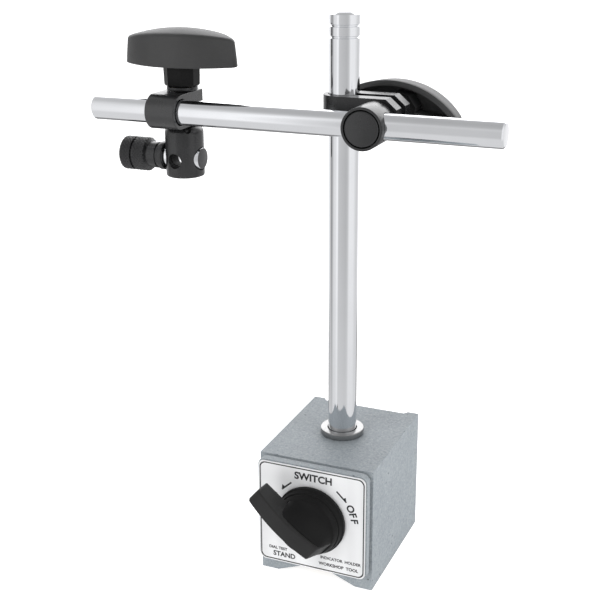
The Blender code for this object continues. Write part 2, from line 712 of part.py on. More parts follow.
def wing_cap(shape):
    """The cap as rings of its outline, from its flat foot over its rounded rim to the middle of its dome."""
    top = HUB_HEIGHT + WING_HEIGHT
    rings = [[(x, y, HUB_HEIGHT) for x, y in wing_outline(0)]]
    for inset, drop in ((0, 1.2), (0.3, 0.4), (1.1, 0)):
        rings.append([(x, y, top - drop - dome_height(x, y)) for x, y in wing_outline(WING_DRAFT + inset)])
    for scale in (0.8, 0.55, 0.3):
        inner = [(x * scale, y * scale) for x, y in wing_outline(WING_DRAFT + 1.1)]
        rings.append([(x, y, top - dome_height(x, y)) for x, y in inner])
    loops = [[shape.verts.new(Vector(p) * MM) for p in points] for points in rings]
    count = len(loops[0])
    for low, high in zip(loops, loops[1:]):
        for i in range(count):
            j = (i + 1) % count
            shape.faces.new((low[i], low[j], high[j], high[i]))
    crown = shape.verts.new((0, 0, top * MM))
    for i in range(count):
        shape.faces.new((loops[-1][i], loops[-1][(i + 1) % count], crown))
    shape.faces.new(tuple(reversed(loops[0])))


def make_wing_knob(name, parent, matrix):
    """A moulded knob: an eight-sided hub under a long domed cap, hollow beneath, with a rib along the hollow."""
    seat = new_object(name + "_seat", None, parent, matrix)
    seat["at_mm"] = (0.0, 0.0, 0.0)
    cap = from_bmesh(name, wing_cap, seat, Matrix.Identity(4))
    hollow = prism(name + "_hollow", wing_outline(WING_WALL), "Z", HUB_HEIGHT - 1, HUB_HEIGHT + WING_CEILING,
                   seat)
    hub_outline = arc((0, 0), HUB_RADIUS, 22.5, 337.5, 7)
    rib = box(name + "_rib", (-30, -WING_RIB, HUB_HEIGHT - 2), (30, WING_RIB, HUB_HEIGHT + WING_CEILING + 1), seat)
    hub = prism(name + "_hub", hub_outline, "Z", 0, HUB_HEIGHT + WING_CEILING + 2, seat)
    bore = rod(name + "_bore", "Z", (0, 0), -1, INSERT_LENGTH + 3, INSERT_RADIUS + GAP, seat)
    insert = ring(name + "_insert", "Z", (0, 0), GAP, GAP + INSERT_LENGTH, BOLT_RADIUS + GAP, INSERT_RADIUS, seat,
                  SMALL_STEPS)
    soften(hub, 0.7, 2, 60)
    cut(hollow, rib)
    cut(cap, hollow)
    join(cap, hub)
    cut(cap, bore)
    finish(cap, "plastic")
    finish(insert, "brass")


def make_wing_knobs():
    washer = ring("rear_washer", "Y", (STUD_X, ARM_Z), CLAMP_RADIUS + GAP, REAR_KNOB_FOOT - GAP, BOLT_HOLE_RADIUS,
                  WASHER_RADIUS, REAR_KNOB)
    finish(washer, "black_oxide")
    tilt = Matrix.Rotation(math.radians(REAR_KNOB_TILT), 4, "Y")
    rear = Matrix.Translation((STUD_X, REAR_KNOB_FOOT, ARM_Z)) @ tilt @ AXES["Y"]
    make_wing_knob("rear_knob", REAR_KNOB, rear)
    top_z = ARM_Z + BAND_RADIUS + GAP + WASHER_THICKNESS + GAP
    washer = ring("top_washer", "Z", (HOLDER_X, HOLDER_Y), ARM_Z + BAND_RADIUS + GAP, top_z - GAP, BOLT_HOLE_RADIUS,
                  WASHER_RADIUS, BAND)
    finish(washer, "black_oxide")
    make_wing_knob("top_knob", TOP_KNOB, Matrix.Translation((HOLDER_X, HOLDER_Y, top_z)))


# Cross arm


def make_arm():
    profile = [(0, ARM_RIGHT), (ARM_RADIUS - ARM_EDGE, ARM_RIGHT), (ARM_RADIUS, ARM_RIGHT - ARM_EDGE),
               (ARM_RADIUS, ARM_LEFT + ARM_EDGE), (ARM_RADIUS - ARM_EDGE, ARM_LEFT), (0, ARM_LEFT)]
    finish(turned("arm_rod", "X", (ARM_Y, ARM_Z), profile, ARM), "chrome")


# Indicator clamp


def make_band():
    left, right = BAND_LEFT, BAND_RIGHT
    low, high = ARM_Z - BAND_RADIUS, ARM_Z + BAND_RADIUS
    band = rod("arm_band", "X", (ARM_Y, ARM_Z), left, right, BAND_RADIUS, BAND)
    outline = rounded_rectangle(left, ARM_Y - 2, right, BAND_BACK, 0.9, 2)[:6] + [(left, ARM_Y), (right, ARM_Y)]
    join(band, prism("band_ears", outline, "Z", low, high, BAND))
    cut(band, rod("band_bore", "X", (ARM_Y, ARM_Z), left - 1, right + 1, ARM_HOLE_RADIUS, BAND))
    slit_low = (left - 1, ARM_Y, ARM_Z - BAND_SLIT_HALF)
    slit_high = (right + 1, HOLDER_Y + 10, ARM_Z + BAND_SLIT_HALF)
    cut(band, box("band_slit", slit_low, slit_high, BAND))
    cut(band, rod("band_bolt_hole", "Z", (HOLDER_X, HOLDER_Y), low - 1, high + 1, BOLT_HOLE_RADIUS, BAND))
    soften(band, 0.4, 1, 50)
    finish(band, "black_oxide")


def make_stem_holder():
    """One turned piece: the holder's barrel and the bolt that rises through the band into the top knob."""
    bolt_top = ARM_Z + BAND_RADIUS + WASHER_THICKNESS + HUB_HEIGHT + 4
    shoulder = (HOLDER_RADIUS - HOLDER_SHOULDER, HOLDER_HIGH - HOLDER_SHOULDER)
    rounded = list(reversed(arc(shoulder, HOLDER_SHOULDER, 0, 90, 4)))
    profile = [(0, bolt_top), (BOLT_RADIUS - 0.5, bolt_top), (BOLT_RADIUS, bolt_top - 0.5),
               (BOLT_RADIUS, HOLDER_HIGH)] + rounded
    profile += [(HOLDER_RADIUS, HOLDER_LOW + 0.8), (HOLDER_RADIUS - 0.8, HOLDER_LOW), (0, HOLDER_LOW)]
    holder = turned("stem_holder", "Z", (HOLDER_X, HOLDER_Y), profile, HOLDER)
    cut(holder, rod("holder_pin_bore", "X", (HOLDER_Y, PIN_Z), HOLDER_X - 10, HOLDER_X + 10, PIN_BORE_RADIUS, HOLDER))
    cut(holder, stem_hole("holder_stem_hole", HOLDER))
    finish(holder, "black_oxide")


def stem_hole(name, parent):
    return rod(name, "Y", (STEM_X, STEM_Z), HOLDER_Y - 10, HOLDER_Y + 10, STEM_RADIUS, parent, steps=24)


def make_draw_clamp():
    washer_right = HOLDER_X - HOLDER_RADIUS - GAP
    washer_left = washer_right - DRAW_WASHER_THICKNESS
    nut_right = washer_left - GAP
    nut_left = nut_right - NUT_LENGTH
    at = (HOLDER_Y, PIN_Z)
    profile = [(0, PIN_RIGHT), (PIN_RADIUS - 0.4, PIN_RIGHT), (PIN_RADIUS, PIN_RIGHT - 0.4),
               (PIN_RADIUS, PIN_SHANK_LEFT), (PIN_THREAD_RADIUS, PIN_SHANK_LEFT), (PIN_THREAD_RADIUS, nut_left + 3),
               (0, nut_left + 3)]
    pin = turned("draw_pin", "X", at, profile, DRAW)
    cut(pin, stem_hole("pin_stem_hole", DRAW))
    finish(pin, "chrome")
    washer = ring("draw_washer", "X", at, washer_left, washer_right, PIN_RADIUS + GAP, DRAW_WASHER_RADIUS, HOLDER)
    finish(washer, "black_oxide")
    bore = PIN_THREAD_RADIUS + GAP
    boss_end = nut_right - NUT_BOSS_LENGTH
    neck_end = nut_right - NUT_NECK_LENGTH
    groove = nut_left + NUT_GROOVE + 0.5
    profile = [(bore, nut_right), (NUT_BOSS_RADIUS, nut_right), (NUT_BOSS_RADIUS, boss_end),
               (NUT_NECK_RADIUS, boss_end), (NUT_NECK_RADIUS, neck_end), (NUT_RADIUS, neck_end - 1.0),
               (NUT_RADIUS, groove), (NUT_RADIUS - 0.8, groove - 0.1), (NUT_RADIUS - 0.8, groove - 0.8),
               (NUT_RADIUS, groove - 0.9), (NUT_RADIUS, nut_left + 0.9),
               (NUT_RADIUS - 0.9, nut_left), (0, nut_left), (0, nut_left + 1.5), (bore, nut_left + 1.5),
               (bore, nut_right)]
    finish(turned("draw_nut", "X", at, profile, DRAW), "black_oxide")


def main():
    make_pole("pole_left", -1)
    make_pole("pole_right", 1)
    make_spacer()
    make_cover()
    make_nameplate()
    make_bushes()
    make_rotor()
    make_rotor_ends()
    make_stop_pin()
    make_switch_knob()
    make_column()
    make_clamp_block()
    make_stud()
    make_wing_knobs()
    make_arm()
    make_band()
    make_stem_holder()
    make_draw_clamp()
    bpy.context.view_layer.update()


main()
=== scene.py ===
"""Looks of the magnetic indicator stand, made around its CAD solids.

Shapes are made in millimetres in the column's frame: the column's axis at x = y = 0, the floor at
z = 0, +X along the cross arm to its bare end and +Y to the back. finish_piece() then moves each one
to the row frame, in metres.
"""

import math

import bmesh
import bpy
from mathutils import Matrix, Vector


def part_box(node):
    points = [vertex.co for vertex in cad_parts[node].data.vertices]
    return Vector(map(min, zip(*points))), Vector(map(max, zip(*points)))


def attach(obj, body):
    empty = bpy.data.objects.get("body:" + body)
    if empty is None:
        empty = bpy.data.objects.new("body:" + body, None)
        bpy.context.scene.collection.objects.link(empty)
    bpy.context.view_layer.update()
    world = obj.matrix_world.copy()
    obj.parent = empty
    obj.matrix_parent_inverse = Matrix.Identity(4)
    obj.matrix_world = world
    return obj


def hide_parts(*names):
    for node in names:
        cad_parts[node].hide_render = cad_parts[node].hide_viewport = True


MM = 0.001
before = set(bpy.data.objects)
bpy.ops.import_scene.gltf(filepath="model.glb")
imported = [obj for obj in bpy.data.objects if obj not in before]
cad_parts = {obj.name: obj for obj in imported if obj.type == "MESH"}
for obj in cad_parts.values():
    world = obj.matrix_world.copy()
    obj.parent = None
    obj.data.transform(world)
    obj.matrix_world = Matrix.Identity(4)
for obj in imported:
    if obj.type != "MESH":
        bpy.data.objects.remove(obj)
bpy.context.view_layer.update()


# Places, read from the CAD


def centre_mm(node):
    low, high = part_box(node)
    return (low + high) / 2 / MM


COLUMN_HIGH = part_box("column")[1] / MM
ORIGIN = Vector((centre_mm("column").x, centre_mm("column").y, 0.0))
POLE_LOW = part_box("pole_left")[0] / MM - ORIGIN
POLE_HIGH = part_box("pole_right")[1] / MM - ORIGIN
HALF_WIDTH = POLE_HIGH.x
FRONT_Y = POLE_LOW.y
BACK_Y = POLE_HIGH.y
BLOCK_TOP = POLE_HIGH.z
SWITCH_Z = centre_mm("rotor_rear_end").z
ARM = centre_mm("arm_rod") - ORIGIN
ARM_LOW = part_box("arm_rod")[0] / MM - ORIGIN
ARM_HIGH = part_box("arm_rod")[1] / MM - ORIGIN
STUD = centre_mm("clamp_stud") - ORIGIN
STUD_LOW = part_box("clamp_stud")[0] / MM - ORIGIN
BAND_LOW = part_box("arm_band")[0] / MM - ORIGIN
BAND_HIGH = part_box("arm_band")[1] / MM - ORIGIN
HOLDER = centre_mm("stem_holder") - ORIGIN
HOLDER_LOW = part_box("stem_holder")[0] / MM - ORIGIN
PIN = centre_mm("draw_pin") - ORIGIN
PIN_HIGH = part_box("draw_pin")[1] / MM - ORIGIN
NUT_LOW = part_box("draw_nut")[0] / MM - ORIGIN
NUT_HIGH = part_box("draw_nut")[1] / MM - ORIGIN
ARM_Z = ARM.z
GAP = 0.3
COLUMN_RADIUS = 6.0
ARM_RADIUS = 5.0
ARM_BORE = ARM_RADIUS + GAP
BOLT_RADIUS = 3.0
BOLT_BORE = 3.4
CLAMP_RADIUS = 8.2
BAND_RADIUS = 7.0
STEM = (HOLDER.x - 0.8, PIN.z - 0.4)
STEM_RADIUS = 3.1


# Solids in millimetres


def mesh_object(name, shape):
    """Turns a bmesh into an object, facing out."""
    bmesh.ops.remove_doubles(shape, verts=shape.verts, dist=1e-5)
    bmesh.ops.recalc_face_normals(shape, faces=shape.faces)
    mesh = bpy.data.meshes.new(name)
    shape.to_mesh(mesh)
    shape.free()
    obj = bpy.data.objects.new(name, mesh)
    bpy.context.scene.collection.objects.link(obj)
    return obj


def along(axis, at, across, up, place):
    """A point from its two coordinates across an axis, counted from at, and its place along it."""
    if axis == "X":
        return Vector((place, at[0] + across, at[1] + up))
    if axis == "Y":
        return Vector((at[0] + across, place, at[1] + up))
    return Vector((at[0] + across, at[1] + up, place))


def circle(shape, axis, at, radius, place, steps):
    points = []
    for i in range(steps):
        angle = math.tau * i / steps
        spot = along(axis, at, radius * math.cos(angle), radius * math.sin(angle), place)
        points.append(shape.verts.new(spot))
    return points


def lathe(name, axis, at, profile, steps=96):
    """A turned solid: profile is (radius, place along the axis) from one end to the other."""
    shape = bmesh.new()
    rings = []
    for radius, place in profile:
        if radius <= 0:
            rings.append([shape.verts.new(along(axis, at, 0, 0, place))])
            continue
        rings.append(circle(shape, axis, at, radius, place, steps))
    for low, high in zip(rings, rings[1:]):
        for i in range(steps):
            j = (i + 1) % steps
            corners = [low[i % len(low)], low[j % len(low)], high[j % len(high)], high[i % len(high)]]
            unique = list(dict.fromkeys(corners))
            if len(unique) > 2:
                shape.faces.new(unique)
    return mesh_object(name, shape)


def rounded(profile, radius, steps=3):
    """The same profile with each inner corner rounded off by up to radius."""
    out = [profile[0]]
    for before, here, after in zip(profile, profile[1:], profile[2:]):
        a, b, c = Vector(before), Vector(here), Vector(after)
        reach = min(radius, (a - b).length * 0.45, (c - b).length * 0.45)
        start = b + (a - b).normalized() * reach
        end = b + (c - b).normalized() * reach
        for i in range(steps + 1):
            t = i / steps
            out.append(tuple(start * (1 - t) ** 2 + b * 2 * t * (1 - t) + end * t ** 2))
    out.append(profile[-1])
    return out


def rod(name, axis, at, start, end, radius, steps=64, end_radius=None):
    end_radius = radius if end_radius is None else end_radius
    return lathe(name, axis, at, [(0, start), (radius, start), (end_radius, end), (0, end)], steps)


def tube(name, axis, at, start, end, inner, outer, edge=0.3, steps=96):
    """A ring with softened outer and inner edges."""
    corners = [(inner, start), (outer, start), (outer, end), (inner, end)]
    profile = []
    for i, corner in enumerate(corners):
        before, after = Vector(corners[i - 1]), Vector(corners[(i + 1) % 4])
        here = Vector(corner)
        a = here + (before - here).normalized() * edge
        c = here + (after - here).normalized() * edge
        for t in (0, 0.35, 0.65, 1):
            profile.append(tuple(a * (1 - t) ** 2 + here * 2 * t * (1 - t) + c * t ** 2))
    profile.append(profile[0])
    return lathe(name, axis, at, profile, steps)


def bridge(shape, low, high):
    """The wall between two rings with the same number of points."""
    count = len(low)
    for i in range(count):
        j = (i + 1) % count
        shape.faces.new((low[i], low[j], high[j], high[i]))


def prism(name, axis, outline, low, high):
    """An outline, in the two coordinates across the axis, pushed from low to high along it."""
    shape = bmesh.new()
    ends = []
    for place in (low, high):
        ends.append([shape.verts.new(along(axis, (0, 0), a, b, place)) for a, b in outline])
    bridge(shape, ends[0], ends[1])
    shape.faces.new(ends[0])
    shape.faces.new(tuple(reversed(ends[1])))
    return mesh_object(name, shape)


def box(name, low, high):
    outline = [(low[0], low[1]), (high[0], low[1]), (high[0], high[1]), (low[0], high[1])]
    return prism(name, "Z", outline, low[2], high[2])


def arc(centre, radius, start, end, steps):
    angles = [math.radians(start + (end - start) * i / steps) for i in range(steps + 1)]
    return [(centre[0] + radius * math.cos(a), centre[1] + radius * math.sin(a)) for a in angles]


def rounded_rectangle(left, low, right, high, radius, steps=10):
    corners = ((right - radius, high - radius, 0), (left + radius, high - radius, 90),
               (left + radius, low + radius, 180), (right - radius, low + radius, 270))
    return [p for x, y, a in corners for p in arc((x, y), radius, a, a + 90, steps)]


def settle(obj):
    """Applies an object's modifiers to its mesh."""
    graph = bpy.context.evaluated_depsgraph_get()
    mesh = bpy.data.meshes.new_from_object(obj.evaluated_get(graph))
    obj.modifiers.clear()
    old = obj.data
    obj.data = mesh
    bpy.data.meshes.remove(old)
    return obj


def combine(obj, tools, operation):
    for tool in tools:
        step = obj.modifiers.new("step", "BOOLEAN")
        step.operation = operation
        step.solver = "EXACT"
        step.object = tool
    settle(obj)
    for tool in tools:
        bpy.data.objects.remove(tool, do_unlink=True)
    return obj


def cut(obj, *tools):
    return combine(obj, tools, "DIFFERENCE")


def join(obj, *tools):
    return combine(obj, tools, "UNION")


def transform(obj, matrix):
    obj.data.transform(matrix)
    obj.data.update()
    return obj


def finish_piece(obj, body, material, replaced=(), bevel=0.0, segments=3, angle=35, crease=35):
    """Moves a piece to the row frame, softens its edges, gives it its body and material, and hides the CAD
    nodes it replaces.
    """
    transform(obj, Matrix.Scale(MM, 4) @ Matrix.Translation(ORIGIN))
    materials = material if isinstance(material, (list, tuple)) else [material]
    obj.data.materials.clear()
    for each in materials:
        obj.data.materials.append(each)
    if bevel:
        edges = obj.modifiers.new("soft_edges", "BEVEL")
        edges.width = bevel * MM
        edges.segments = segments
        edges.limit_method = "ANGLE"
        edges.angle_limit = math.radians(angle)
        edges.miter_outer = "MITER_ARC"
        even = obj.modifiers.new("even_normals", "WEIGHTED_NORMAL")
        even.keep_sharp = True
    obj.data.shade_smooth()
    obj.data.set_sharp_from_angle(angle=math.radians(crease))
    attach(obj, body)
    if replaced:
        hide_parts(*replaced)
    return obj


# Materials. Object coordinates are metres in the row frame, so a scale of 1000 makes a noise cell 1 mm.


class Nodes:
    """Shorthand for wiring one material."""

    def __init__(self, name):
        self.material = bpy.data.materials.new(name)
        self.material.use_nodes = True
        self.tree = self.material.node_tree
        self.shader = self.tree.nodes["Principled BSDF"]
        self.place = self.tree.nodes.new("ShaderNodeTexCoord").outputs["Object"]

    def add(self, kind, inputs=(), **settings):
        node = self.tree.nodes.new(kind)
        for key, value in settings.items():
            setattr(node, key, value)
        for key, value in dict(inputs).items():
            self.put(node.inputs[key], value)
        return node

    def put(self, socket, value):
        if isinstance(value, bpy.types.NodeSocket):
            self.tree.links.new(value, socket)
        else:
            socket.default_value = value

    def mapped(self, scale):
        return self.add("ShaderNodeMapping", {"Vector": self.place, "Scale": scale}).outputs["Vector"]

    def noise(self, scale, detail=3.0, rough=0.55, vector=None):
        inputs = {"Vector": vector or self.place, "Scale": scale, "Detail": detail, "Roughness": rough}
        return self.add("ShaderNodeTexNoise", inputs).outputs["Fac"]

    def cells(self, scale):
        node = self.add("ShaderNodeTexVoronoi", {"Vector": self.place, "Scale": scale})
        return node.outputs["Distance"]

    def ramp(self, value, low, high, start=0.0, end=1.0):
        inputs = {"Value": value, "From Min": start, "From Max": end, "To Min": low, "To Max": high}
        return self.add("ShaderNodeMapRange", inputs).outputs["Result"]

    def math(self, operation, a, b):
        node = self.add("ShaderNodeMath", {0: a, 1: b}, operation=operation)
        return node.outputs[0]

    def mix(self, factor, a, b):
        node = self.add("ShaderNodeMix", data_type="RGBA")
        self.put(node.inputs[0], factor)
        self.put(node.inputs[6], a)
        self.put(node.inputs[7], b)
        return node.outputs[2]

    def bump(self, height, strength, distance, normal=None):
        inputs = {"Height": height, "Strength": strength, "Distance": distance * MM}
        if normal is not None:
            inputs["Normal"] = normal
        return self.add("ShaderNodeBump", inputs).outputs["Normal"]

    def set(self, **values):
        for key, value in values.items():
            self.put(self.shader.inputs[key.replace("_", " ")], value)
        return self.material


def grey(value, blue=0.0):
    return (value, value * (1 + blue * 0.5), value * (1 + blue), 1.0)


def enamel_look():
    n = Nodes("hammered_enamel")
    fine = n.noise(1300, 4.0, 0.6)
    broad = n.noise(60, 3.0)
    spots = n.noise(420, 2.0)
    base = n.mix(n.ramp(broad, 0, 1, 0.3, 0.7), (0.235, 0.262, 0.282, 1), (0.265, 0.292, 0.310, 1))
    base = n.mix(n.ramp(fine, 0, 0.8, 0.45, 0.70), base, (0.355, 0.385, 0.405, 1))
    base = n.mix(n.ramp(n.noise(760, 3.0), 0, 0.34, 0.55, 0.66), base, (0.130, 0.148, 0.160, 1))
    speck = n.ramp(n.cells(300), 1, 0, 0.10, 0.17)
    base = n.mix(n.math("MULTIPLY", speck, n.ramp(broad, 0, 1, 0.56, 0.60)), base, (0.090, 0.102, 0.110, 1))
    normal = n.bump(fine, 0.5, 0.12)
    normal = n.bump(n.noise(330, 2.0), 0.35, 0.25, normal)
    return n.set(Base_Color=base, Roughness=n.ramp(spots, 0.46, 0.62), Normal=normal, Specular_IOR_Level=0.3)


def chrome_look(name, axis):
    """Bright plating, with faint polishing streaks round the bar and a few dull smears along it."""
    n = Nodes(name)
    scale = [90.0, 90.0, 90.0]
    scale["XYZ".index(axis)] = 2600.0
    streaks = n.noise(1.0, 2.0, vector=n.mapped(scale))
    smears = n.noise(55, 3.0)
    base = n.mix(smears, (0.78, 0.79, 0.81, 1), (0.86, 0.87, 0.885, 1))
    rough = n.math("ADD", n.ramp(streaks, 0.045, 0.085), n.ramp(smears, 0.0, 0.05, 0.55, 0.8))
    normal = n.bump(streaks, 0.06, 0.02)
    normal = n.bump(n.noise(140, 2.0), 0.05, 0.12, normal)
    return n.set(Base_Color=base, Metallic=1.0, Roughness=rough, Normal=normal)


def turned_steel_look():
    """Machined steel with turning rings about the vertical."""
    n = Nodes("turned_steel")
    rings = n.noise(1.0, 3.0, vector=n.mapped((500, 500, 4200)))
    speck = n.noise(900, 3.0)
    base = n.mix(speck, (0.28, 0.28, 0.28, 1), (0.40, 0.40, 0.395, 1))
    normal = n.bump(rings, 0.25, 0.04)
    return n.set(Base_Color=base, Metallic=1.0, Roughness=n.ramp(rings, 0.24, 0.42), Normal=normal)


def ground_steel_look():
    """Ground feet: long fine scratches front to back."""
    n = Nodes("ground_steel")
    grain = n.noise(1.0, 3.0, vector=n.mapped((3200, 60, 3200)))
    stain = n.noise(90, 4.0)
    base = n.mix(n.ramp(stain, 0, 0.6, 0.4, 0.75), (0.58, 0.58, 0.57, 1), (0.34, 0.32, 0.29, 1))
    return n.set(Base_Color=base, Metallic=1.0, Roughness=n.ramp(grain, 0.28, 0.46),
                 Normal=n.bump(grain, 0.3, 0.04))


def blackened_look(name, shine):
    """Satin black finish on turned steel."""
    n = Nodes(name)
    fine = n.noise(1500, 3.0)
    cloud = n.noise(110, 3.0)
    base = n.mix(n.ramp(cloud, 0, 1, 0.3, 0.7), (0.0075, 0.0077, 0.0082, 1), (0.012, 0.0122, 0.0128, 1))
    normal = n.bump(fine, 0.18, 0.05)
    return n.set(Base_Color=base, Roughness=n.ramp(cloud, 0.22, 0.31, 0.3, 0.7), Normal=normal,
                 Specular_IOR_Level=shine)


def plastic_and_shade_look(name, tone, grain, shine):
    """Moulded thermoplastic with an etched grain, also used for painted shade."""
    n = Nodes(name)
    etch = n.noise(1700, 3.0, 0.6)
    blotch = n.noise(70, 3.0)
    base = n.mix(n.ramp(blotch, 0, 1, 0.3, 0.7), grey(tone), grey(tone * 1.35))
    rough = n.math("ADD", n.ramp(etch, 0.40, 0.56), n.ramp(blotch, -0.04, 0.04))
    return n.set(Base_Color=base, Roughness=rough, Normal=n.bump(etch, grain, 0.10),
                 Specular_IOR_Level=shine)


def plate_look():
    """Brushed aluminium plate, its scratches upright."""
    n = Nodes("brushed_plate")
    brush = n.noise(1.0, 3.0, vector=n.mapped((2600, 300, 40)))
    bands = n.noise(1.0, 1.0, vector=n.mapped((110, 10, 6)))
    base = n.mix(n.ramp(bands, 0, 1, 0.35, 0.7), (0.74, 0.745, 0.75, 1), (0.87, 0.875, 0.88, 1))
    return n.set(Base_Color=base, Metallic=0.45, Roughness=n.ramp(brush, 0.34, 0.50),
                 Normal=n.bump(brush, 0.12, 0.02))


def ink_look():
    n = Nodes("print_black")
    worn = n.noise(900, 4.0)
    base = n.mix(n.ramp(worn, 0, 1, 0.55, 0.9), (0.012, 0.012, 0.013, 1), (0.05, 0.05, 0.05, 1))
    return n.set(Base_Color=base, Roughness=n.ramp(worn, 0.35, 0.55))


def brass_look():
    n = Nodes("turned_brass")
    rings = n.noise(1.0, 2.0, vector=n.mapped((900, 2400, 900)))
    base = n.mix(n.noise(160, 3.0), (0.66, 0.46, 0.18, 1), (0.78, 0.60, 0.30, 1))
    return n.set(Base_Color=base, Metallic=1.0, Roughness=n.ramp(rings, 0.22, 0.40),
                 Normal=n.bump(rings, 0.2, 0.03))


def seal_look():
    n = Nodes("black_seal")
    fine = n.noise(1200, 4.0)
    base = n.mix(fine, (0.018, 0.018, 0.019, 1), (0.040, 0.040, 0.041, 1))
    return n.set(Base_Color=base, Roughness=n.ramp(fine, 0.65, 0.85), Normal=n.bump(fine, 0.4, 0.08))


def magnet_look():
    n = Nodes("sintered_magnet")
    fine = n.noise(1400, 5.0, 0.7)
    base = n.mix(fine, (0.10, 0.10, 0.105, 1), (0.20, 0.20, 0.205, 1))
    return n.set(Base_Color=base, Metallic=0.4, Roughness=n.ramp(fine, 0.5, 0.75),
                 Normal=n.bump(fine, 0.5, 0.08))


def painted_pin_end_reflection_look():
    """The draw pin's end face in dark grey: a painted reflection of a dark surround in its polished steel."""
    n = Nodes("pin_end_painted_reflection")
    rings = n.noise(700, 3.0)
    base = n.mix(rings, (0.05, 0.05, 0.052, 1), (0.085, 0.085, 0.087, 1))
    return n.set(Base_Color=base, Metallic=0.6, Roughness=n.ramp(rings, 0.35, 0.5),
                 Normal=n.bump(rings, 0.15, 0.05))


def pin_hole_shade_look():
    """The wall of the pin's cross hole: near-black and dull at the front as painted shade inside the hole,
    bare bright metal deeper in.
    """
    n = Nodes("pin_hole_painted_shade")
    split = n.add("ShaderNodeSeparateXYZ", {"Vector": n.place})
    middle = (HOLDER.y + ORIGIN.y) * MM
    # Painted shade: near-black up to just past the hole's middle, fading to bare metal behind.
    depth = n.ramp(split.outputs["Y"], 0.0, 1.0, middle + 0.9 * MM, middle + 1.3 * MM)
    scratch = n.noise(1500, 3.0)
    base = n.mix(depth, (0.004, 0.004, 0.004, 1), (0.80, 0.80, 0.81, 1))
    return n.set(Base_Color=base, Metallic=depth, Roughness=n.ramp(scratch, 0.30, 0.45),
                 Normal=n.bump(scratch, 0.1, 0.03), Specular_IOR_Level=0.1)


ENAMEL = enamel_look()
COLUMN_CHROME = chrome_look("column_chrome", "Z")
ARM_CHROME = chrome_look("arm_chrome", "X")
TURNED = turned_steel_look()
GROUND = ground_steel_look()
BLACKENED = blackened_look("satin_black", 0.6)
DULL_BLACK = blackened_look("dull_black", 0.5)
BAND_BLACK = blackened_look("band_black", 0.85)
KNOB_PLASTIC = plastic_and_shade_look("grained_plastic", 0.020, 0.45, 0.55)
# Near-black, smooth and dull: the switch dial's plastic, and painted shade on the wing knobs' hubs.
DIAL_PLASTIC_AND_HUB_SHADE = plastic_and_shade_look("smooth_plastic_and_hub_shade", 0.006, 0.15, 0.12)
LEVER_PLASTIC = plastic_and_shade_look("lever_plastic", 0.011, 0.30, 0.30)
PLATE = plate_look()
INK = ink_look()
BRASS = brass_look()
SEAL = seal_look()
MAGNET = magnet_look()
PIN_END_PAINTED_REFLECTION = painted_pin_end_reflection_look()
PIN_HOLE_PAINTED_SHADE = pin_hole_shade_look()
# A near-black, dull sheet on the holder's stem hole wall: painted shade inside the hole.
STEM_HOLE_PAINTED_SHADE = plastic_and_shade_look("stem_hole_painted_shade", 0.003, 0.10, 0.08)

CARRIED = {
    BRASS: ("spindle_bush", "journal_bush", "rear_knob_insert", "top_knob_insert"),
    SEAL: ("cover_gasket",),
    MAGNET: ("rotor_magnet",),
    TURNED: ("cover_screw_lower_left", "cover_screw_lower_right", "cover_screw_upper_left",
             "cover_screw_upper_right", "stop_pin", "rotor_shoe_left", "rotor_shoe_right",
             "rotor_front_end", "rotor_rear_end", "knob_pin"),
}


def dress_carried_nodes():
    for material, names in CARRIED.items():
        for name in names:
            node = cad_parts[name]
            node.data.materials.clear()
            node.data.materials.append(material)


# Magnet block

VEE_HALF = 17.5
VEE_DEPTH = 6.9
COVER_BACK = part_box("front_cover")[1].y / MM - ORIGIN.y
COVER_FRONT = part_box("front_cover")[0].y / MM - ORIGIN.y
COVER_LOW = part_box("front_cover")[0] / MM - ORIGIN
COVER_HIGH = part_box("front_cover")[1] / MM - ORIGIN
PLATE_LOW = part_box("nameplate")[0] / MM - ORIGIN
PLATE_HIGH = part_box("nameplate")[1] / MM - ORIGIN
SCREW_SPREAD = 18.5
SCREW_BORE = 1.6
SLOT_HALF = 2.3
SLOT_TOP = BLOCK_TOP - 0.8
SKIN = 0.6
CHANNEL_HALF = 20.0
CHANNEL_FLOOR = 18.8
CHANNEL_DEPTH = 2.0


def screw_places():
    """Across and up, for the four screws that hold the cover."""
    return [(x, z) for x in (-SCREW_SPREAD, SCREW_SPREAD)
            for z in (SWITCH_Z - SCREW_SPREAD, SWITCH_Z + SCREW_SPREAD)]


def block_bores():
    """The rotor's bore, the pocket for its rear bearing and the column's socket."""
    return [rod("bore", "Y", (0, SWITCH_Z), FRONT_Y - 1, 23.3, 15.0, 96),
            rod("pocket", "Y", (0, SWITCH_Z), 22, 27.3, 5.0),
            rod("socket", "Z", (0, 0), BLOCK_TOP - 7.7, BLOCK_TOP + 1, 4.3)]


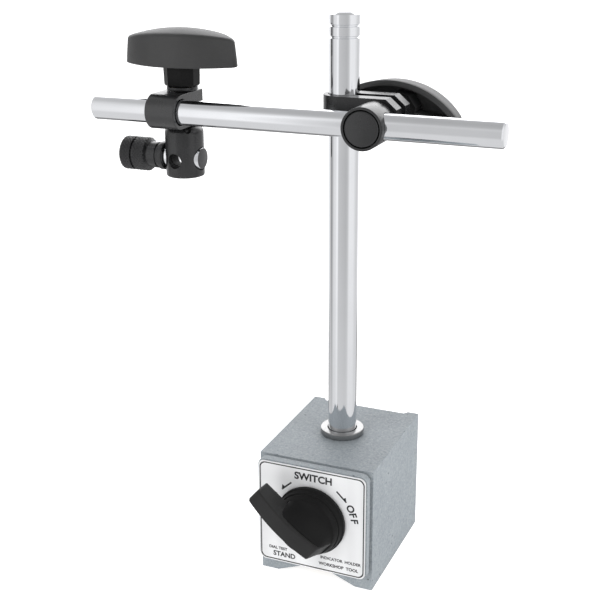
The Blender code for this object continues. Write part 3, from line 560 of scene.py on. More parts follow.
def make_casing():
    """Both poles under one coat of enamel. The V between the feet and their soles are ground bare."""
    lip = VEE_DEPTH * (1 - SLOT_HALF / VEE_HALF)
    outline = [(-HALF_WIDTH, 0), (-VEE_HALF, 0), (-SLOT_HALF, lip), (-SLOT_HALF, SLOT_TOP),
               (SLOT_HALF, SLOT_TOP), (SLOT_HALF, lip), (VEE_HALF, 0), (HALF_WIDTH, 0),
               (HALF_WIDTH, BLOCK_TOP), (-HALF_WIDTH, BLOCK_TOP)]
    casing = prism("block_casing", "Y", outline, FRONT_Y, BACK_Y)
    skins = []
    for near, far in ((FRONT_Y, FRONT_Y + SKIN), (BACK_Y - 4.0, BACK_Y - 1.0)):
        skins.append(box("skin", (-SLOT_HALF - 1, near, lip), (SLOT_HALF + 1, far, SLOT_TOP + 0.5)))
    join(casing, *skins)
    floor = BACK_Y - CHANNEL_DEPTH
    channel = [(-CHANNEL_HALF, BACK_Y + 1), (-CHANNEL_HALF, BACK_Y), (-CHANNEL_FLOOR, floor),
               (CHANNEL_FLOOR, floor), (CHANNEL_HALF, BACK_Y), (CHANNEL_HALF, BACK_Y + 1)]
    tools = [prism("channel", "Z", channel, -1, BLOCK_TOP + 1)] + block_bores()
    for place in screw_places():
        tools.append(rod("thread", "Y", place, FRONT_Y - 1, FRONT_Y + 7, SCREW_BORE, 24))
    cut(casing, *tools)
    finish_piece(casing, "base", [ENAMEL, GROUND], ("pole_left", "pole_right"), bevel=0.45)
    for face in casing.data.polygons:
        face.material_index = 1 if face.normal.z < -0.5 and face.center.z < 0.01 else 0
    strip = box("spacer_strip", (-2.0, FRONT_Y + 0.8, VEE_DEPTH + GAP), (2.0, BACK_Y - 4.3, SLOT_TOP - GAP))
    cut(strip, *block_bores())
    finish_piece(strip, "base", BRASS, ("pole_spacer",), bevel=0.15)


def make_cover():
    outline = rounded_rectangle(COVER_LOW.x, COVER_LOW.z, COVER_HIGH.x, COVER_HIGH.z, 3.0)
    cover = prism("cover_plate", "Y", outline, COVER_FRONT, COVER_BACK)
    tools = [rod("middle", "Y", (0, SWITCH_Z), COVER_FRONT - 1, COVER_BACK + 1, 6.3)]
    for place in screw_places():
        tools.append(rod("hole", "Y", place, COVER_FRONT - 1, COVER_BACK + 1, SCREW_BORE, 24))
        tools.append(rod("sink", "Y", place, COVER_FRONT - 0.1, COVER_FRONT + 2.1, 3.2, 32, 1.4))
    tools.append(rod("stop", "Y", (0, SWITCH_Z - 10.5), COVER_BACK - 2, COVER_BACK + 1, 1.8, 24))
    cut(cover, *tools)
    finish_piece(cover, "base", ENAMEL, ("front_cover",), bevel=0.55)
    outline = rounded_rectangle(PLATE_LOW.x, PLATE_LOW.z, PLATE_HIGH.x, PLATE_HIGH.z, 2.6)
    plate = prism("name_plate", "Y", outline, PLATE_LOW.y, PLATE_HIGH.y)
    cut(plate, rod("middle", "Y", (0, SWITCH_Z), PLATE_LOW.y - 1, PLATE_HIGH.y + 1, 8.0))
    finish_piece(plate, "base", PLATE, ("nameplate",), bevel=0.12)


# Print on the nameplate. Places are from the dial's centre, across and up.

PRINT_SINK = 0.02
BORDER_INSET = 0.5
BORDER_WIDTH = 0.5
LEGENDS = (
    ("SWITCH", 0.9, 17.6, 4.4, 0.0, 0.15),
    ("DIAL TEST", -15.2, -17.6, 1.8, 0.0, 0.07),
    ("STAND", -12.4, -20.8, 3.1, 0.0, 0.10),
    ("INDICATOR  HOLDER", 12.9, -17.4, 1.8, 0.0, 0.065),
    ("WORKSHOP  TOOL", 12.0, -20.5, 1.95, 0.0, 0.075),
)
ARROWS = (((-8.8, 15.3), (-13.1, 11.4), (-12.95, 13.7)), ((11.1, 15.3), (15.4, 11.1), (15.1, 13.2)))
DIAL_LETTERS = (("O", 26.5), ("F", 17.8), ("F", 9.6), ("N", 153.6), ("O", 163.0))
LETTER_CIRCLE = 19.3
LETTER_SIZE = 4.3
LETTER_WEIGHT = 0.14
ARROW_WIDTH = 0.7
ARROW_HEAD = 2.1


def print_piece(name, obj):
    finish_piece(obj, "base", INK)
    obj.name = name


def text_shape(text, x, z, size, turn, weight):
    """Flat letters standing proud of the plate by PRINT_SINK, centred on a place."""
    curve = bpy.data.curves.new("legend", "FONT")
    curve.body = text
    curve.size = size
    curve.align_x = "CENTER"
    curve.offset = weight
    curve.extrude = PRINT_SINK
    curve.resolution_u = 4
    obj = bpy.data.objects.new("legend", curve)
    bpy.context.scene.collection.objects.link(obj)
    graph = bpy.context.evaluated_depsgraph_get()
    mesh = bpy.data.meshes.new_from_object(obj.evaluated_get(graph))
    bpy.data.objects.remove(obj, do_unlink=True)
    shape = bmesh.new()
    shape.from_mesh(mesh)
    flat = mesh_object("legend", shape)
    stand = Matrix.Rotation(math.radians(90), 4, "X")
    lean = Matrix.Rotation(math.radians(-turn), 4, "Y")
    return transform(flat, Matrix.Translation((x, PLATE_LOW.y, SWITCH_Z + z)) @ lean @ stand)


def merge(name, objects):
    """Joins meshes that don't touch into one object."""
    shape = bmesh.new()
    for obj in objects:
        shape.from_mesh(obj.data)
        bpy.data.objects.remove(obj, do_unlink=True)
    return mesh_object(name, shape)


def stroke(start, end, width):
    """A straight printed line."""
    a, b = Vector(start), Vector(end)
    side = (b - a).normalized().orthogonal() * width / 2
    outline = [tuple(a + side), tuple(a - side), tuple(b - side), tuple(b + side)]
    return [(x, z + SWITCH_Z) for x, z in outline]


def make_print():
    low, high = PLATE_LOW.y - PRINT_SINK, PLATE_LOW.y + PRINT_SINK
    ring = []
    for inset, name in ((BORDER_INSET, "outer"), (BORDER_INSET + BORDER_WIDTH, "inner")):
        outline = rounded_rectangle(PLATE_LOW.x + inset, PLATE_LOW.z + inset, PLATE_HIGH.x - inset,
                                    PLATE_HIGH.z - inset, 2.9 - inset * 0.5)
        deeper = 0 if name == "outer" else 1
        ring.append(prism(name, "Y", outline, low - deeper, high + deeper))
    print_piece("print_border", cut(ring[0], ring[1]))
    words = [text_shape(*legend) for legend in LEGENDS]
    for letter, angle in DIAL_LETTERS:
        turn = angle - 90
        reach = LETTER_CIRCLE - LETTER_SIZE * 0.36
        x = reach * math.cos(math.radians(angle))
        z = reach * math.sin(math.radians(angle))
        words.append(text_shape(letter, x, z, LETTER_SIZE, turn, LETTER_WEIGHT))
    print_piece("print_legends", merge("print_legends", words))
    marks = []
    for tail, tip, barb in ARROWS:
        marks.append(prism("shaft", "Y", stroke(tail, tip, ARROW_WIDTH), low, high))
        back = Vector(tip) + (Vector(tail) - Vector(tip)).normalized() * ARROW_HEAD
        head = [tip, barb, tuple(back)]
        marks.append(prism("head", "Y", [(x, z + SWITCH_Z) for x, z in head], low - 0.002, high))
    print_piece("print_arrows", merge("print_arrows", marks))


# Switch knob

KNOB_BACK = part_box("nameplate")[0].y / MM - ORIGIN.y - GAP
KNOB_TOP = -42.4
TOP_RADIUS = 12.6
LEVER_ANGLE = 140.0
LEVER_HALF = 3.8
TAPER = 0.012
LEVER_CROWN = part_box("switch_knob")[0].y / MM - ORIGIN.y
LEVER_END = LEVER_CROWN + 2.3
LEVER_TIP = 24.5
LEVER_TAIL = 12.0
TAIL_FRONT = 8.8
LEVER_UNDER = -43.2


def lever_frame():
    """Takes (along the lever, across it, back from its front) to the column's frame."""
    direction = Vector((math.cos(math.radians(LEVER_ANGLE)), 0.0, math.sin(math.radians(LEVER_ANGLE))))
    back = Vector((0.0, 1.0, 0.0))
    turn = Matrix((direction, back.cross(direction), back)).transposed().to_4x4()
    return Matrix.Translation((0, 0, SWITCH_Z)) @ turn


def crown(s):
    """The lever's front at a place along it."""
    middle = (LEVER_TIP - 0.5 - TAIL_FRONT) / 2
    half = (LEVER_TIP - 0.5 + TAIL_FRONT) / 2
    front = LEVER_CROWN + (LEVER_END - LEVER_CROWN) * ((s - middle) / half) ** 2
    if s < -TAIL_FRONT:
        fall = (-TAIL_FRONT - s) / (LEVER_TAIL - TAIL_FRONT)
        front = LEVER_END + (KNOB_TOP - LEVER_END) * fall
    return min(front, KNOB_TOP - 0.01)


def half_width(s):
    """The bar narrows a little towards its pointer."""
    return LEVER_HALF + 0.12 - TAPER * (s + TAIL_FRONT)


def lever_bar():
    """The bar itself, with an arched front, a sloped tail and an overhanging pointer."""
    places = [-LEVER_TAIL + 0.05, -TAIL_FRONT]
    places += [-TAIL_FRONT + i * 1.4 for i in range(1, 24)]
    places += [LEVER_TIP - 0.5]
    outline = [(s, crown(s)) for s in places]
    outline += [(LEVER_TIP, LEVER_END + 1.2), (LEVER_TIP - 0.6, LEVER_UNDER), (TOP_RADIUS - 0.5, LEVER_UNDER),
                (TOP_RADIUS - 1.2, KNOB_TOP + 1), (-LEVER_TAIL + 0.05, KNOB_TOP + 1)]
    shape = bmesh.new()
    sides = []
    for side in (-1, 1):
        sides.append([shape.verts.new((s, side * half_width(s), y)) for s, y in outline])
    bridge(shape, sides[0], sides[1])
    shape.faces.new(sides[0])
    shape.faces.new(tuple(reversed(sides[1])))
    bar = mesh_object("lever_bar", shape)
    edges = bar.modifiers.new("edges", "BEVEL")
    edges.width = 1.2
    edges.segments = 5
    edges.limit_method = "ANGLE"
    edges.angle_limit = math.radians(35)
    return settle(bar)


def lever_flanks(rows=40, columns=14):
    """The hollows that sweep from the bar's front edges down to the disc's rim."""
    shape = bmesh.new()
    reach = math.sqrt(TOP_RADIUS ** 2 - LEVER_HALF ** 2) - 0.02
    grid = []
    for i in range(rows + 1):
        s = -reach + 2 * reach * i / rows
        rim = math.sqrt(TOP_RADIUS ** 2 - s * s) - 0.02
        line = []
        for j in range(-columns, columns + 1):
            u = abs(j) / columns
            inner = half_width(s) - 0.35
            t = inner + (rim - inner) * u
            height = (crown(s) + 0.15 - KNOB_TOP) * (1 - u) ** 2.1
            front = min(KNOB_TOP + height, KNOB_TOP - 0.02)
            line.append((s, t if j > 0 else -t if j < 0 else 0.0, front))
        grid.append(line)
    top = [[shape.verts.new(p) for p in line] for line in grid]
    low = [[shape.verts.new((s, t, KNOB_TOP + 0.6)) for s, t, _ in line] for line in grid]
    width = len(grid[0])
    for i in range(rows):
        for j in range(width - 1):
            shape.faces.new((top[i][j], top[i + 1][j], top[i + 1][j + 1], top[i][j + 1]))
            shape.faces.new((low[i][j], low[i][j + 1], low[i + 1][j + 1], low[i + 1][j]))
        shape.faces.new((top[i][0], low[i][0], low[i + 1][0], top[i + 1][0]))
        shape.faces.new((top[i][-1], top[i + 1][-1], low[i + 1][-1], low[i][-1]))
    for j in range(width - 1):
        shape.faces.new((top[0][j], top[0][j + 1], low[0][j + 1], low[0][j]))
        shape.faces.new((top[-1][j], low[-1][j], low[-1][j + 1], top[-1][j + 1]))
    return mesh_object("lever_flanks", shape)


def make_switch():
    profile = [(0, KNOB_BACK), (15.1, KNOB_BACK), (15.05, KNOB_BACK - 1.5), (14.55, KNOB_BACK - 1.75),
               (14.0, KNOB_BACK - 3.8), (13.45, KNOB_BACK - 4.0), (13.4, KNOB_BACK - 4.5),
               (13.65, KNOB_BACK - 4.75), (TOP_RADIUS, KNOB_TOP), (0, KNOB_TOP)]
    knob = lathe("switch_dial", "Y", (0, SWITCH_Z), rounded(profile, 0.22), 128)
    bar = transform(lever_bar(), lever_frame())
    flanks = transform(lever_flanks(), lever_frame())
    join(knob, flanks, bar)
    cut(knob, rod("socket", "Y", (0, SWITCH_Z), KNOB_TOP - 2, KNOB_BACK + 1, 4.3))
    finish_piece(knob, "switch", [DIAL_PLASTIC_AND_HUB_SHADE, LEVER_PLASTIC], ("switch_knob",), crease=30)
    to_lever = lever_frame().inverted() @ Matrix.Translation(-ORIGIN) @ Matrix.Scale(1 / MM, 4)
    for face in knob.data.polygons:
        s, t, y = to_lever @ face.center
        face.material_index = 1 if abs(t) < half_width(s) + 0.05 and y < KNOB_TOP - 0.3 else 0


# Column

GROOVES = (226.9, 222.6)
GROOVE_SIDE = ((0.0, 0.5), (-0.25, 0.4), (-0.4, 0.2), (-0.4, -0.2), (-0.25, -0.4), (0.0, -0.5))


def make_column():
    top = COLUMN_HIGH.z
    foot = BLOCK_TOP + GAP
    profile = [(0, top), (4.1, top), (4.3, top - 0.06), (5.93, top - 1.03), (COLUMN_RADIUS, top - 1.2)]
    for z in GROOVES:
        profile += [(COLUMN_RADIUS + out, z + up) for out, up in GROOVE_SIDE]
    profile += [(COLUMN_RADIUS, foot), (4.0, foot), (4.0, foot - 6.4), (3.4, foot - 7.0), (0, foot - 7.0)]
    column = lathe("column_post", "Z", (0, 0), profile, 128)
    finish_piece(column, "post", COLUMN_CHROME, ("column",))
    collar = tube("collar_ring", "Z", (0, 0), foot, foot + 2.5, COLUMN_RADIUS + GAP, 9.25, 0.35, 128)
    finish_piece(collar, "base", TURNED, ("column_collar",))


# Column clamp


def make_column_clamp():
    low, high = ARM_Z - 6.4, ARM_Z + 8.8
    end, corner, rise = 24.2, 19.8, 3.8
    block = rod("clamp_body", "Z", (0, 0), low, high, CLAMP_RADIUS, 96)
    outline = [(0, low), (corner, low), (end, low + rise), (end, high - rise), (corner, high), (0, high)]
    join(block, prism("ears", "Y", outline, -CLAMP_RADIUS, CLAMP_RADIUS))
    cut(block, rod("bore", "Z", (0, 0), low - 1, high + 1, COLUMN_RADIUS + GAP, 96),
        box("slit", (0, -2.4, low - 1), (30, 2.4, high + 1)),
        rod("bolt", "Y", (STUD.x, ARM_Z), -10, 10, BOLT_BORE, 48))
    finish_piece(block, "clamp", DULL_BLACK, ("clamp_block",), bevel=0.35)


def make_stud():
    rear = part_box("clamp_stud")[1].y / MM - ORIGIN.y
    front = STUD_LOW.y
    profile = [(0, rear), (2.5, rear), (BOLT_RADIUS, rear - 0.5), (BOLT_RADIUS, -9.0), (6.8, -9.0),
               (6.8, front + 0.75), (6.3, front + 0.3), (0, front)]
    stud = lathe("stud_eye", "Y", (STUD.x, ARM_Z), rounded(profile, 0.25), 96)
    cut(stud, rod("eye", "X", (ARM.y, ARM_Z), STUD.x - 12, STUD.x + 12, ARM_BORE, 96))
    finish_piece(stud, "stud", BLACKENED, ("clamp_stud",), crease=40)
    sleeve = tube("sleeve_ring", "Y", (STUD.x, ARM_Z), -24.2, -8.5, 7.15, CLAMP_RADIUS, 0.25, 96)
    cut(sleeve, rod("eye", "X", (ARM.y, ARM_Z), STUD.x - 12, STUD.x + 12, ARM_BORE, 96))
    finish_piece(sleeve, "stud", BLACKENED, ("clamp_sleeve",), crease=40)


# Wing knobs, made with +Z from the hub's foot to the crown

HUB_HEIGHT = 8.3
WING_HEIGHT = 14.8
WING_ARC = 36.0
WING_HALF = 11.7
WING_END = 23.9
SAG_LONG = 72.0
SAG_ACROSS = 31.0
CEILING = 9.0
WALL = 2.2
DRAFT = 0.8
REAR_KNOB_TILT = 9.5


def wing_outline(inset, fine=28):
    centre = WING_HALF - WING_ARC
    reach = math.degrees(math.asin(WING_END / WING_ARC))
    upper = arc((0, centre), WING_ARC - inset, 90 - reach, 90 + reach, fine)
    tip_y = math.sqrt(WING_ARC ** 2 - WING_END ** 2) + centre
    end_radius = tip_y / math.cos(math.radians(reach))
    end_x = WING_END - end_radius * math.sin(math.radians(reach))
    left = arc((-end_x, 0), end_radius - inset, 90 + reach, 270 - reach, fine // 2)
    lower = [(-x, -y) for x, y in upper]
    right = [(-x, -y) for x, y in left]
    return upper + left[1:-1] + lower + right[1:-1]


def wing_cap():
    """Rings of the outline: a rounded foot, slightly drafted walls, a rounded rim and a shallow dome."""
    shape = bmesh.new()
    top = HUB_HEIGHT + WING_HEIGHT

    def sag(x, y):
        return x * x / (2 * SAG_LONG) + y * y / (2 * SAG_ACROSS)

    rings = []
    for inset, rise in ((0.5, 0.0), (0.15, 0.12), (0.0, 0.5), (0.3, 4.0)):
        rings.append([(x, y, HUB_HEIGHT + rise) for x, y in wing_outline(inset)])
    for inset, drop in ((0.0, 1.7), (0.08, 1.1), (0.3, 0.6), (0.7, 0.22), (1.3, 0.03), (2.0, 0.0)):
        rings.append([(x, y, top - drop - sag(x, y)) for x, y in wing_outline(DRAFT + inset)])
    for scale in (0.86, 0.7, 0.54, 0.38, 0.2):
        inner = [(x * scale, y * scale) for x, y in wing_outline(DRAFT + 2.0)]
        rings.append([(x, y, top - sag(x, y)) for x, y in inner])
    loops = [[shape.verts.new(p) for p in points] for points in rings]
    count = len(loops[0])
    for low, high in zip(loops, loops[1:]):
        bridge(shape, low, high)
    middle = shape.verts.new((0, 0, top))
    for i in range(count):
        shape.faces.new((loops[-1][i], loops[-1][(i + 1) % count], middle))
    shape.faces.new(tuple(reversed(loops[0])))
    return mesh_object("wing_cap", shape)


def octagon_hub():
    """An eight-sided hub with a chamfered foot that grows a little towards the cap."""
    shape = bmesh.new()
    rings = []
    steps = ((0.0, 6.7), (0.25, 7.05), (0.7, 7.3), (HUB_HEIGHT, 7.5), (HUB_HEIGHT + CEILING + 2, 7.5))
    for z, radius in steps:
        rings.append([shape.verts.new((x, y, z)) for x, y in arc((0, 0), radius, 22.5, 337.5, 7)])
    for low, high in zip(rings, rings[1:]):
        bridge(shape, low, high)
    shape.faces.new(tuple(reversed(rings[0])))
    shape.faces.new(rings[-1])
    return mesh_object("hub", shape)


def make_wing(name, body, matrix, node):
    cap = wing_cap()
    cap.name = name
    hollow = prism("hollow", "Z", wing_outline(WALL), HUB_HEIGHT - 1, HUB_HEIGHT + CEILING)
    ribs = [box("rib", (-30, -0.9, HUB_HEIGHT - 2), (30, 0.9, HUB_HEIGHT + CEILING + 1))]
    cut(hollow, *ribs)
    cut(cap, hollow)
    join(cap, octagon_hub())
    cut(cap, rod("bore", "Z", (0, 0), -1, 14.0, 5.0, 48))
    transform(cap, matrix)
    finish_piece(cap, body, [KNOB_PLASTIC, DIAL_PLASTIC_AND_HUB_SHADE], (node,), crease=28)
    back_to_knob = (Matrix.Translation(ORIGIN) @ matrix).inverted() @ Matrix.Scale(1 / MM, 4)
    # The hub below the cap takes the darker, smoother dial plastic: smoother for real, darker as painted
    # shade under the wing.
    for face in cap.data.polygons:
        face.material_index = 1 if (back_to_knob @ face.center).z < HUB_HEIGHT - 0.05 else 0


def make_washer(name, axis, at, low, high, body, node):
    washer = tube(name, axis, at, low, high, BOLT_BORE, 6.4, 0.25)
    finish_piece(washer, body, BLACKENED, (node,))


def make_knobs():
    rear_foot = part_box("rear_knob")[0].y / MM - ORIGIN.y
    to_back = Matrix.Rotation(math.radians(-90), 4, "X")
    tilt = Matrix.Rotation(math.radians(REAR_KNOB_TILT), 4, "Y")
    make_wing("rear_wing_cap", "rear_wing", Matrix.Translation((STUD.x, rear_foot, ARM_Z)) @ tilt @ to_back,
              "rear_knob")
    make_washer("rear_washer_ring", "Y", (STUD.x, ARM_Z), 8.5, 9.9, "rear_wing", "rear_washer")
    top_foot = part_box("top_knob")[0].z / MM
    make_wing("top_wing_cap", "top_wing", Matrix.Translation((HOLDER.x, HOLDER.y, top_foot)), "top_knob")
    make_washer("top_washer_ring", "Z", (HOLDER.x, HOLDER.y), ARM_Z + 7.3, ARM_Z + 8.7, "band", "top_washer")


# Cross arm and indicator clamp


def make_arm():
    edge = 0.7
    flat = ARM_RADIUS - edge
    profile = [(0, ARM_HIGH.x), (flat, ARM_HIGH.x), (ARM_RADIUS, ARM_HIGH.x - edge),
               (ARM_RADIUS, ARM_LOW.x + edge), (flat, ARM_LOW.x), (0, ARM_LOW.x)]
    arm = lathe("cross_arm", "X", (ARM.y, ARM_Z), rounded(profile, 0.12), 128)
    finish_piece(arm, "arm", ARM_CHROME, ("arm_rod",))


def make_band():
    """A C round the arm that runs back into two ears."""
    low, high, back = ARM_Z - BAND_RADIUS, ARM_Z + BAND_RADIUS, BAND_HIGH.y
    half_slit = 2.0
    open_angle = math.degrees(math.asin(half_slit / ARM_BORE))
    outline = arc((ARM.y, ARM_Z), ARM_BORE, open_angle, 360 - open_angle, 72)
    outline += [(back, ARM_Z - half_slit), (back, low)] + arc((ARM.y, ARM_Z), BAND_RADIUS, 270, 90, 48)
    outline += [(back, high), (back, ARM_Z + half_slit)]
    band = prism("band_clamp", "X", outline, BAND_LOW.x, BAND_HIGH.x)
    cut(band, rod("bolt", "Z", (HOLDER.x, HOLDER.y), low - 1, high + 1, BOLT_BORE, 48))
    finish_piece(band, "band", BAND_BLACK, ("arm_band",), bevel=0.35)


def in_stem_hole(face):
    """Whether a face lies on the wall of the stem hole."""
    centre = (Vector((STEM[0], 0, STEM[1])) + ORIGIN) * MM
    return (face.center - centre).xz.length < (STEM_RADIUS + 0.05) * MM and abs(face.normal.y) < 0.05


def make_holder():
    low, top = HOLDER_LOW.z, ARM_Z - BAND_RADIUS - GAP
    radius, shoulder = 8.05, 3.0
    bolt_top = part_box("stem_holder")[1].z / MM
    corner = (radius - shoulder, top - shoulder)
    profile = [(0, bolt_top), (2.5, bolt_top), (BOLT_RADIUS, bolt_top - 0.5), (BOLT_RADIUS, top)]
    profile += list(reversed(arc(corner, shoulder, 0, 90, 10)))
    profile += [(radius, low + 0.8), (radius - 0.25, low + 0.25), (radius - 0.8, low), (0, low)]
    holder = lathe("stem_barrel", "Z", (HOLDER.x, HOLDER.y), profile, 112)
    dimple = bmesh.new()
    bmesh.ops.create_uvsphere(dimple, u_segments=32, v_segments=20, radius=1.5)
    spot = Vector((math.sin(math.radians(40)), -math.cos(math.radians(40)), 0)) * 6.8
    place = Matrix.Translation((HOLDER.x + spot.x, HOLDER.y + spot.y, top - 1.4))
    dimple = transform(mesh_object("dimple", dimple), place)
    cut(holder, dimple, rod("pin_bore", "X", (HOLDER.y, PIN.z), HOLDER.x - 10, HOLDER.x + 10, 4.85, 72),
        rod("stem_hole", "Y", STEM, HOLDER.y - 10, HOLDER.y + 10, STEM_RADIUS, 64))
    finish_piece(holder, "holder", [BLACKENED, STEM_HOLE_PAINTED_SHADE], ("stem_holder",), crease=40)
    # The stem hole's wall takes the painted shade.
    for face in holder.data.polygons:
        face.material_index = 1 if in_stem_hole(face) else 0


def make_pin():
    right = PIN_HIGH.x
    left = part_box("draw_pin")[0].x / MM - ORIGIN.x
    shank = -79.0
    profile = [(0, right), (4.1, right), (4.35, right - 0.12), (4.5, right - 0.4), (4.5, shank), (2.5, shank),
               (2.5, left), (0, left)]
    pin = lathe("draw_pin_bar", "X", (PIN.y, PIN.z), profile, 96)
    cut(pin, rod("stem_hole", "Y", STEM, HOLDER.y - 10, HOLDER.y + 10, STEM_RADIUS, 64))
    finish_piece(pin, "pin", [ARM_CHROME, PIN_END_PAINTED_REFLECTION, PIN_HOLE_PAINTED_SHADE], ("draw_pin",), crease=30)
    # The pin's end face takes the painted dark reflection.
    edge = (right + ORIGIN.x - 0.1) * MM
    # The stem hole's wall in the pin gets painted shade at its front.
    for face in pin.data.polygons:
        at_end = face.center.x > edge and face.normal.x > 0.9
        face.material_index = 1 if at_end else 2 if in_stem_hole(face) else 0
    low, high = (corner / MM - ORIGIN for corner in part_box("draw_washer"))
    washer = tube("draw_washer_ring", "X", (PIN.y, PIN.z), low.x, high.x, 4.8, 5.9, 0.3)
    finish_piece(washer, "holder", BLACKENED, ("draw_washer",))


def knurled_nut(name, right, left, at):
    """Neck, two knurled bands and a groove between them. The knurl is raised diamonds."""
    around = 288
    teeth = 28
    hollow, depth = 2.8, 1.5
    neck_end = right - 5.0
    groove = left + 6.4
    sections = [(hollow, right, 0), (5.0, right, 0), (5.0, right - 1.0, 0), (5.3, right - 1.02, 0),
                (5.45, right - 1.2, 0), (5.45, neck_end, 0), (6.3, neck_end - 0.35, 0)]

    def knurled(start, end, rows):
        for i in range(rows + 1):
            yield (6.7, start + (end - start) * i / rows, 1)

    sections += knurled(neck_end - 0.7, groove + 0.1, 26)
    sections += [(6.2, groove, 0), (6.2, groove - 0.85, 0)]
    sections += knurled(groove - 0.95, left + 0.8, 24)
    sections += [(6.3, left + 0.3, 0), (5.9, left, 0), (0, left, 0)]
    shape = bmesh.new()
    rings = []
    for radius, place, rough in sections:
        if radius <= 0:
            rings.append([shape.verts.new(along("X", at, 0, 0, place))])
            continue
        ring = []
        for i in range(around):
            angle = math.tau * i / around
            out = radius
            if rough:
                lead = place * teeth / 7.1 * 0.5
                one = abs(math.sin(teeth * angle / 2 + lead))
                two = abs(math.sin(teeth * angle / 2 - lead))
                out += 0.40 * min(one, two) ** 0.7
            ring.append(shape.verts.new(along("X", at, out * math.cos(angle), out * math.sin(angle), place)))
        rings.append(ring)
    inner = circle(shape, "X", at, hollow, left + depth, around)
    bottom = shape.verts.new(along("X", at, 0, 0, left + depth))
    for low, high in zip(rings, rings[1:]):
        for i in range(around):
            j = (i + 1) % around
            corners = list(dict.fromkeys([low[i], low[j], high[j % len(high)], high[i % len(high)]]))
            shape.faces.new(corners)
    for i in range(around):
        j = (i + 1) % around
        shape.faces.new((rings[0][i], inner[i], inner[j], rings[0][j]))
        shape.faces.new((inner[i], bottom, inner[j]))
    return mesh_object(name, shape)


def make_nut():
    nut = knurled_nut("knurled_nut", NUT_HIGH.x, NUT_LOW.x, (PIN.y, PIN.z))
    finish_piece(nut, "nut", BLACKENED, ("draw_nut",), crease=32)


# Stage


def make_floor():
    shape = bmesh.new()
    bmesh.ops.create_grid(shape, x_segments=1, y_segments=1, size=6.0)
    floor = mesh_object("studio_floor", shape)
    floor.location.z = -0.0003
    n = Nodes("pale_floor")
    cloud = n.noise(3.0, 2.0)
    base = n.mix(cloud, (0.90, 0.90, 0.90, 1), (0.92, 0.92, 0.92, 1))
    floor.data.materials.append(n.set(Base_Color=base, Roughness=0.9, Emission_Color=(1, 1, 1, 1),
                                      Emission_Strength=0.62))
    floor.visible_glossy = False


def make_world():
    """A soft white tent with a darker ceiling and grey gaps between its panels, plain white to look at."""
    world = bpy.data.worlds.new("studio")
    bpy.context.scene.world = world
    world.use_nodes = True
    tree = world.node_tree
    tree.nodes.clear()

    def add(kind, **settings):
        node = tree.nodes.new(kind)
        for key, value in settings.items():
            setattr(node, key, value)
        return node

    def band(value, start, end, soft):
        """1 between start and end, fading to 0 over soft on either side."""
        sides = []
        for edge, fade in ((start, -soft), (end, soft)):
            side = add("ShaderNodeMapRange", interpolation_type="SMOOTHSTEP")
            side.inputs["From Min"].default_value = edge + fade
            side.inputs["From Max"].default_value = edge
            tree.links.new(value, side.inputs["Value"])
            sides.append(side.outputs[0])
        both = add("ShaderNodeMath", operation="MULTIPLY")
        tree.links.new(sides[0], both.inputs[0])
        tree.links.new(sides[1], both.inputs[1])
        return both.outputs[0]

    def share_of(value, low, high):
        """0 at low and 1 at high."""
        node = add("ShaderNodeMapRange")
        node.inputs["From Min"].default_value = low
        node.inputs["From Max"].default_value = high
        tree.links.new(value, node.inputs["Value"])
        return node.outputs[0]

    def graded(value, tones):
        """A ramp of tones read at a value."""
        node = add("ShaderNodeValToRGB")
        fill_ramp(node, tones)
        tree.links.new(value, node.inputs[0])
        return node.outputs[0]

    def blend(factor, a, b):
        node = add("ShaderNodeMix", data_type="RGBA")
        tree.links.new(factor, node.inputs[0])
        tree.links.new(a, node.inputs[6])
        if isinstance(b, tuple):
            node.inputs[7].default_value = b
        else:
            tree.links.new(b, node.inputs[7])
        return node.outputs[2]

    place = add("ShaderNodeTexCoord")
    split = add("ShaderNodeSeparateXYZ")
    tree.links.new(place.outputs["Generated"], split.inputs[0])
    turn = add("ShaderNodeMath", operation="ARCTAN2")
    tree.links.new(split.outputs["Y"], turn.inputs[0])
    tree.links.new(split.outputs["X"], turn.inputs[1])
    azimuth = share_of(turn.outputs[0], -math.pi, math.pi)
    height = share_of(split.outputs["Z"], -1.0, 1.0)
    walls = graded(azimuth, WALL_TONES)
    tiers = graded(height, TIER_TONES)
    colour = blend(graded(height, WALL_SHARE), tiers, walls)
    for west, east, low, high, tone in PANELS:
        across = band(azimuth, bearing(west), bearing(east), 0.02)
        upward = band(height, lift(low), lift(high), 0.03)
        mask = add("ShaderNodeMath", operation="MULTIPLY")
        tree.links.new(across, mask.inputs[0])
        tree.links.new(upward, mask.inputs[1])
        colour = blend(mask.outputs[0], colour, (tone, tone, tone * 1.01, 1))
    tent = add("ShaderNodeBackground")
    tent.inputs["Strength"].default_value = TENT_STRENGTH
    tree.links.new(colour, tent.inputs["Color"])
    plain = add("ShaderNodeBackground")
    plain.inputs["Color"].default_value = (1, 1, 1, 1)
    plain.inputs["Strength"].default_value = 1.0
    path = add("ShaderNodeLightPath")
    choose = add("ShaderNodeMixShader")
    tree.links.new(path.outputs["Is Camera Ray"], choose.inputs[0])
    tree.links.new(tent.outputs[0], choose.inputs[1])
    tree.links.new(plain.outputs[0], choose.inputs[2])
    out = add("ShaderNodeOutputWorld")
    tree.links.new(choose.outputs[0], out.inputs[0])


def fill_ramp(node, tones):
    """Fills a colour ramp with (place, brightness) stops."""
    ramp = node.color_ramp
    while len(ramp.elements) > 1:
        ramp.elements.remove(ramp.elements[-1])
    first = True
    for place, tone in tones:
        stop = ramp.elements[0] if first else ramp.elements.new(place)
        first = False
        stop.position = place
        stop.color = (tone, tone, tone * 1.01, 1)


def bearing(degrees):
    """A place on the walls' ramp, for degrees from +X towards +Y, from -180 to 180."""
    return (degrees + 180) / 360


def lift(degrees):
    """A height on the tier ramp, for degrees above the horizon."""
    return (math.sin(math.radians(degrees)) + 1) / 2


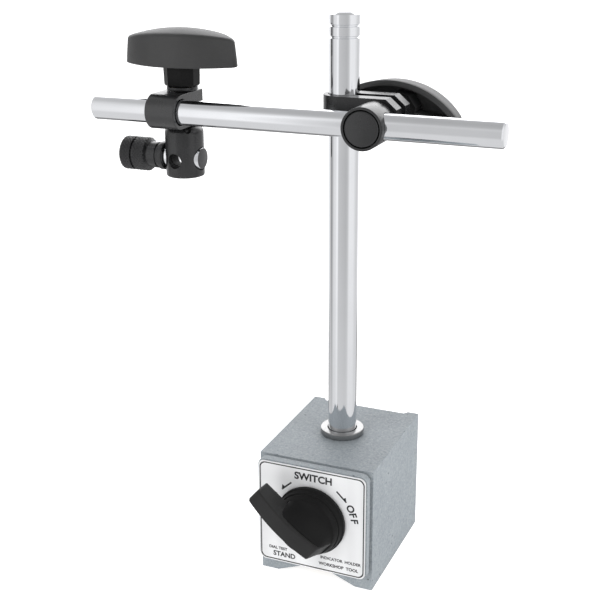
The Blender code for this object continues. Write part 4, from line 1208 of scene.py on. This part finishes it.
TENT_STRENGTH = 1.25
WALL_TONES = [(bearing(a), tone) for a, tone in (
    (-180, 0.28), (-168, 0.34), (-152, 0.66), (-134, 0.70), (-118, 0.90), (-108, 0.52), (-52, 0.44),
    (-38, 0.50), (-24, 0.78), (12, 0.77), (30, 0.66), (45, 0.58), (60, 0.60), (76, 0.78), (92, 0.90),
    (116, 0.90), (140, 0.78), (162, 0.68), (174, 0.34), (180, 0.30))]
TIER_TONES = [(lift(a), tone) for a, tone in (
    (-90, 0.62), (-40, 0.62), (-20, 0.62), (0, 0.7), (45, 0.55), (60, 0.42), (90, 0.38))]
WALL_SHARE = [(lift(a), tone) for a, tone in (
    (-90, 0.0), (-32, 0.0), (-16, 1.0), (30, 1.0), (50, 0.0), (90, 0.0))]
# Each panel runs from its west to its east bearing and from its low to its high angle, at a tone.
PANELS = (
    (70, 150, 10, 40, 2.4),
    (72, 150, -58, -22, 0.22),
)


LIGHT_SIZE = 0.6
LIGHT_TARGET = Vector((0, 0, 0.12))


def add_light(name, at, power):
    """A soft square light aimed at the middle of the stand, in metres."""
    lamp = bpy.data.lights.new(name, "AREA")
    lamp.shape = "SQUARE"
    lamp.size = LIGHT_SIZE
    lamp.energy = power
    obj = bpy.data.objects.new(name, lamp)
    bpy.context.scene.collection.objects.link(obj)
    obj.location = at
    aim = LIGHT_TARGET - Vector(at)
    obj.rotation_euler = aim.to_track_quat("-Z", "Y").to_euler()
    obj.visible_glossy = False


CAMERA_PLACE = Vector((156.6, -410.1, 270.1))
CAMERA_AZIMUTH = 23.23
CAMERA_ELEVATION = 19.4
CAMERA_ROLL = -0.42
LENS_LENGTH = 67.286


def make_camera():
    """Looks down at the front and right side. Distances are in the column's frame, angles in degrees."""
    a, e = math.radians(CAMERA_AZIMUTH), math.radians(CAMERA_ELEVATION)
    back = Vector((math.sin(a) * math.cos(e), -math.cos(a) * math.cos(e), math.sin(e)))
    right = Vector((math.cos(a), math.sin(a), 0))
    up = back.cross(right)
    roll = Matrix.Rotation(math.radians(CAMERA_ROLL), 4, "Z")
    turn = Matrix((right, up, back)).transposed().to_4x4() @ roll
    lens = bpy.data.cameras.new("camera")
    lens.sensor_width = 36.0
    lens.lens = LENS_LENGTH
    lens.clip_start = 0.01
    camera = bpy.data.objects.new("camera", lens)
    bpy.context.scene.collection.objects.link(camera)
    camera.matrix_world = Matrix.Translation((CAMERA_PLACE + ORIGIN) * MM) @ turn
    bpy.context.scene.camera = camera


dress_carried_nodes()
make_casing()
make_cover()
make_print()
make_switch()
make_column()
make_column_clamp()
make_stud()
make_knobs()
make_arm()
make_band()
make_holder()
make_pin()
make_nut()
make_floor()
make_world()
add_light("key", (-0.35, -0.80, 0.55), 3.4)
add_light("fill", (0.90, -0.30, 0.38), 3.6)
make_camera()
bpy.context.scene.view_settings.view_transform = "Standard"

bpy.context.view_layer.update()
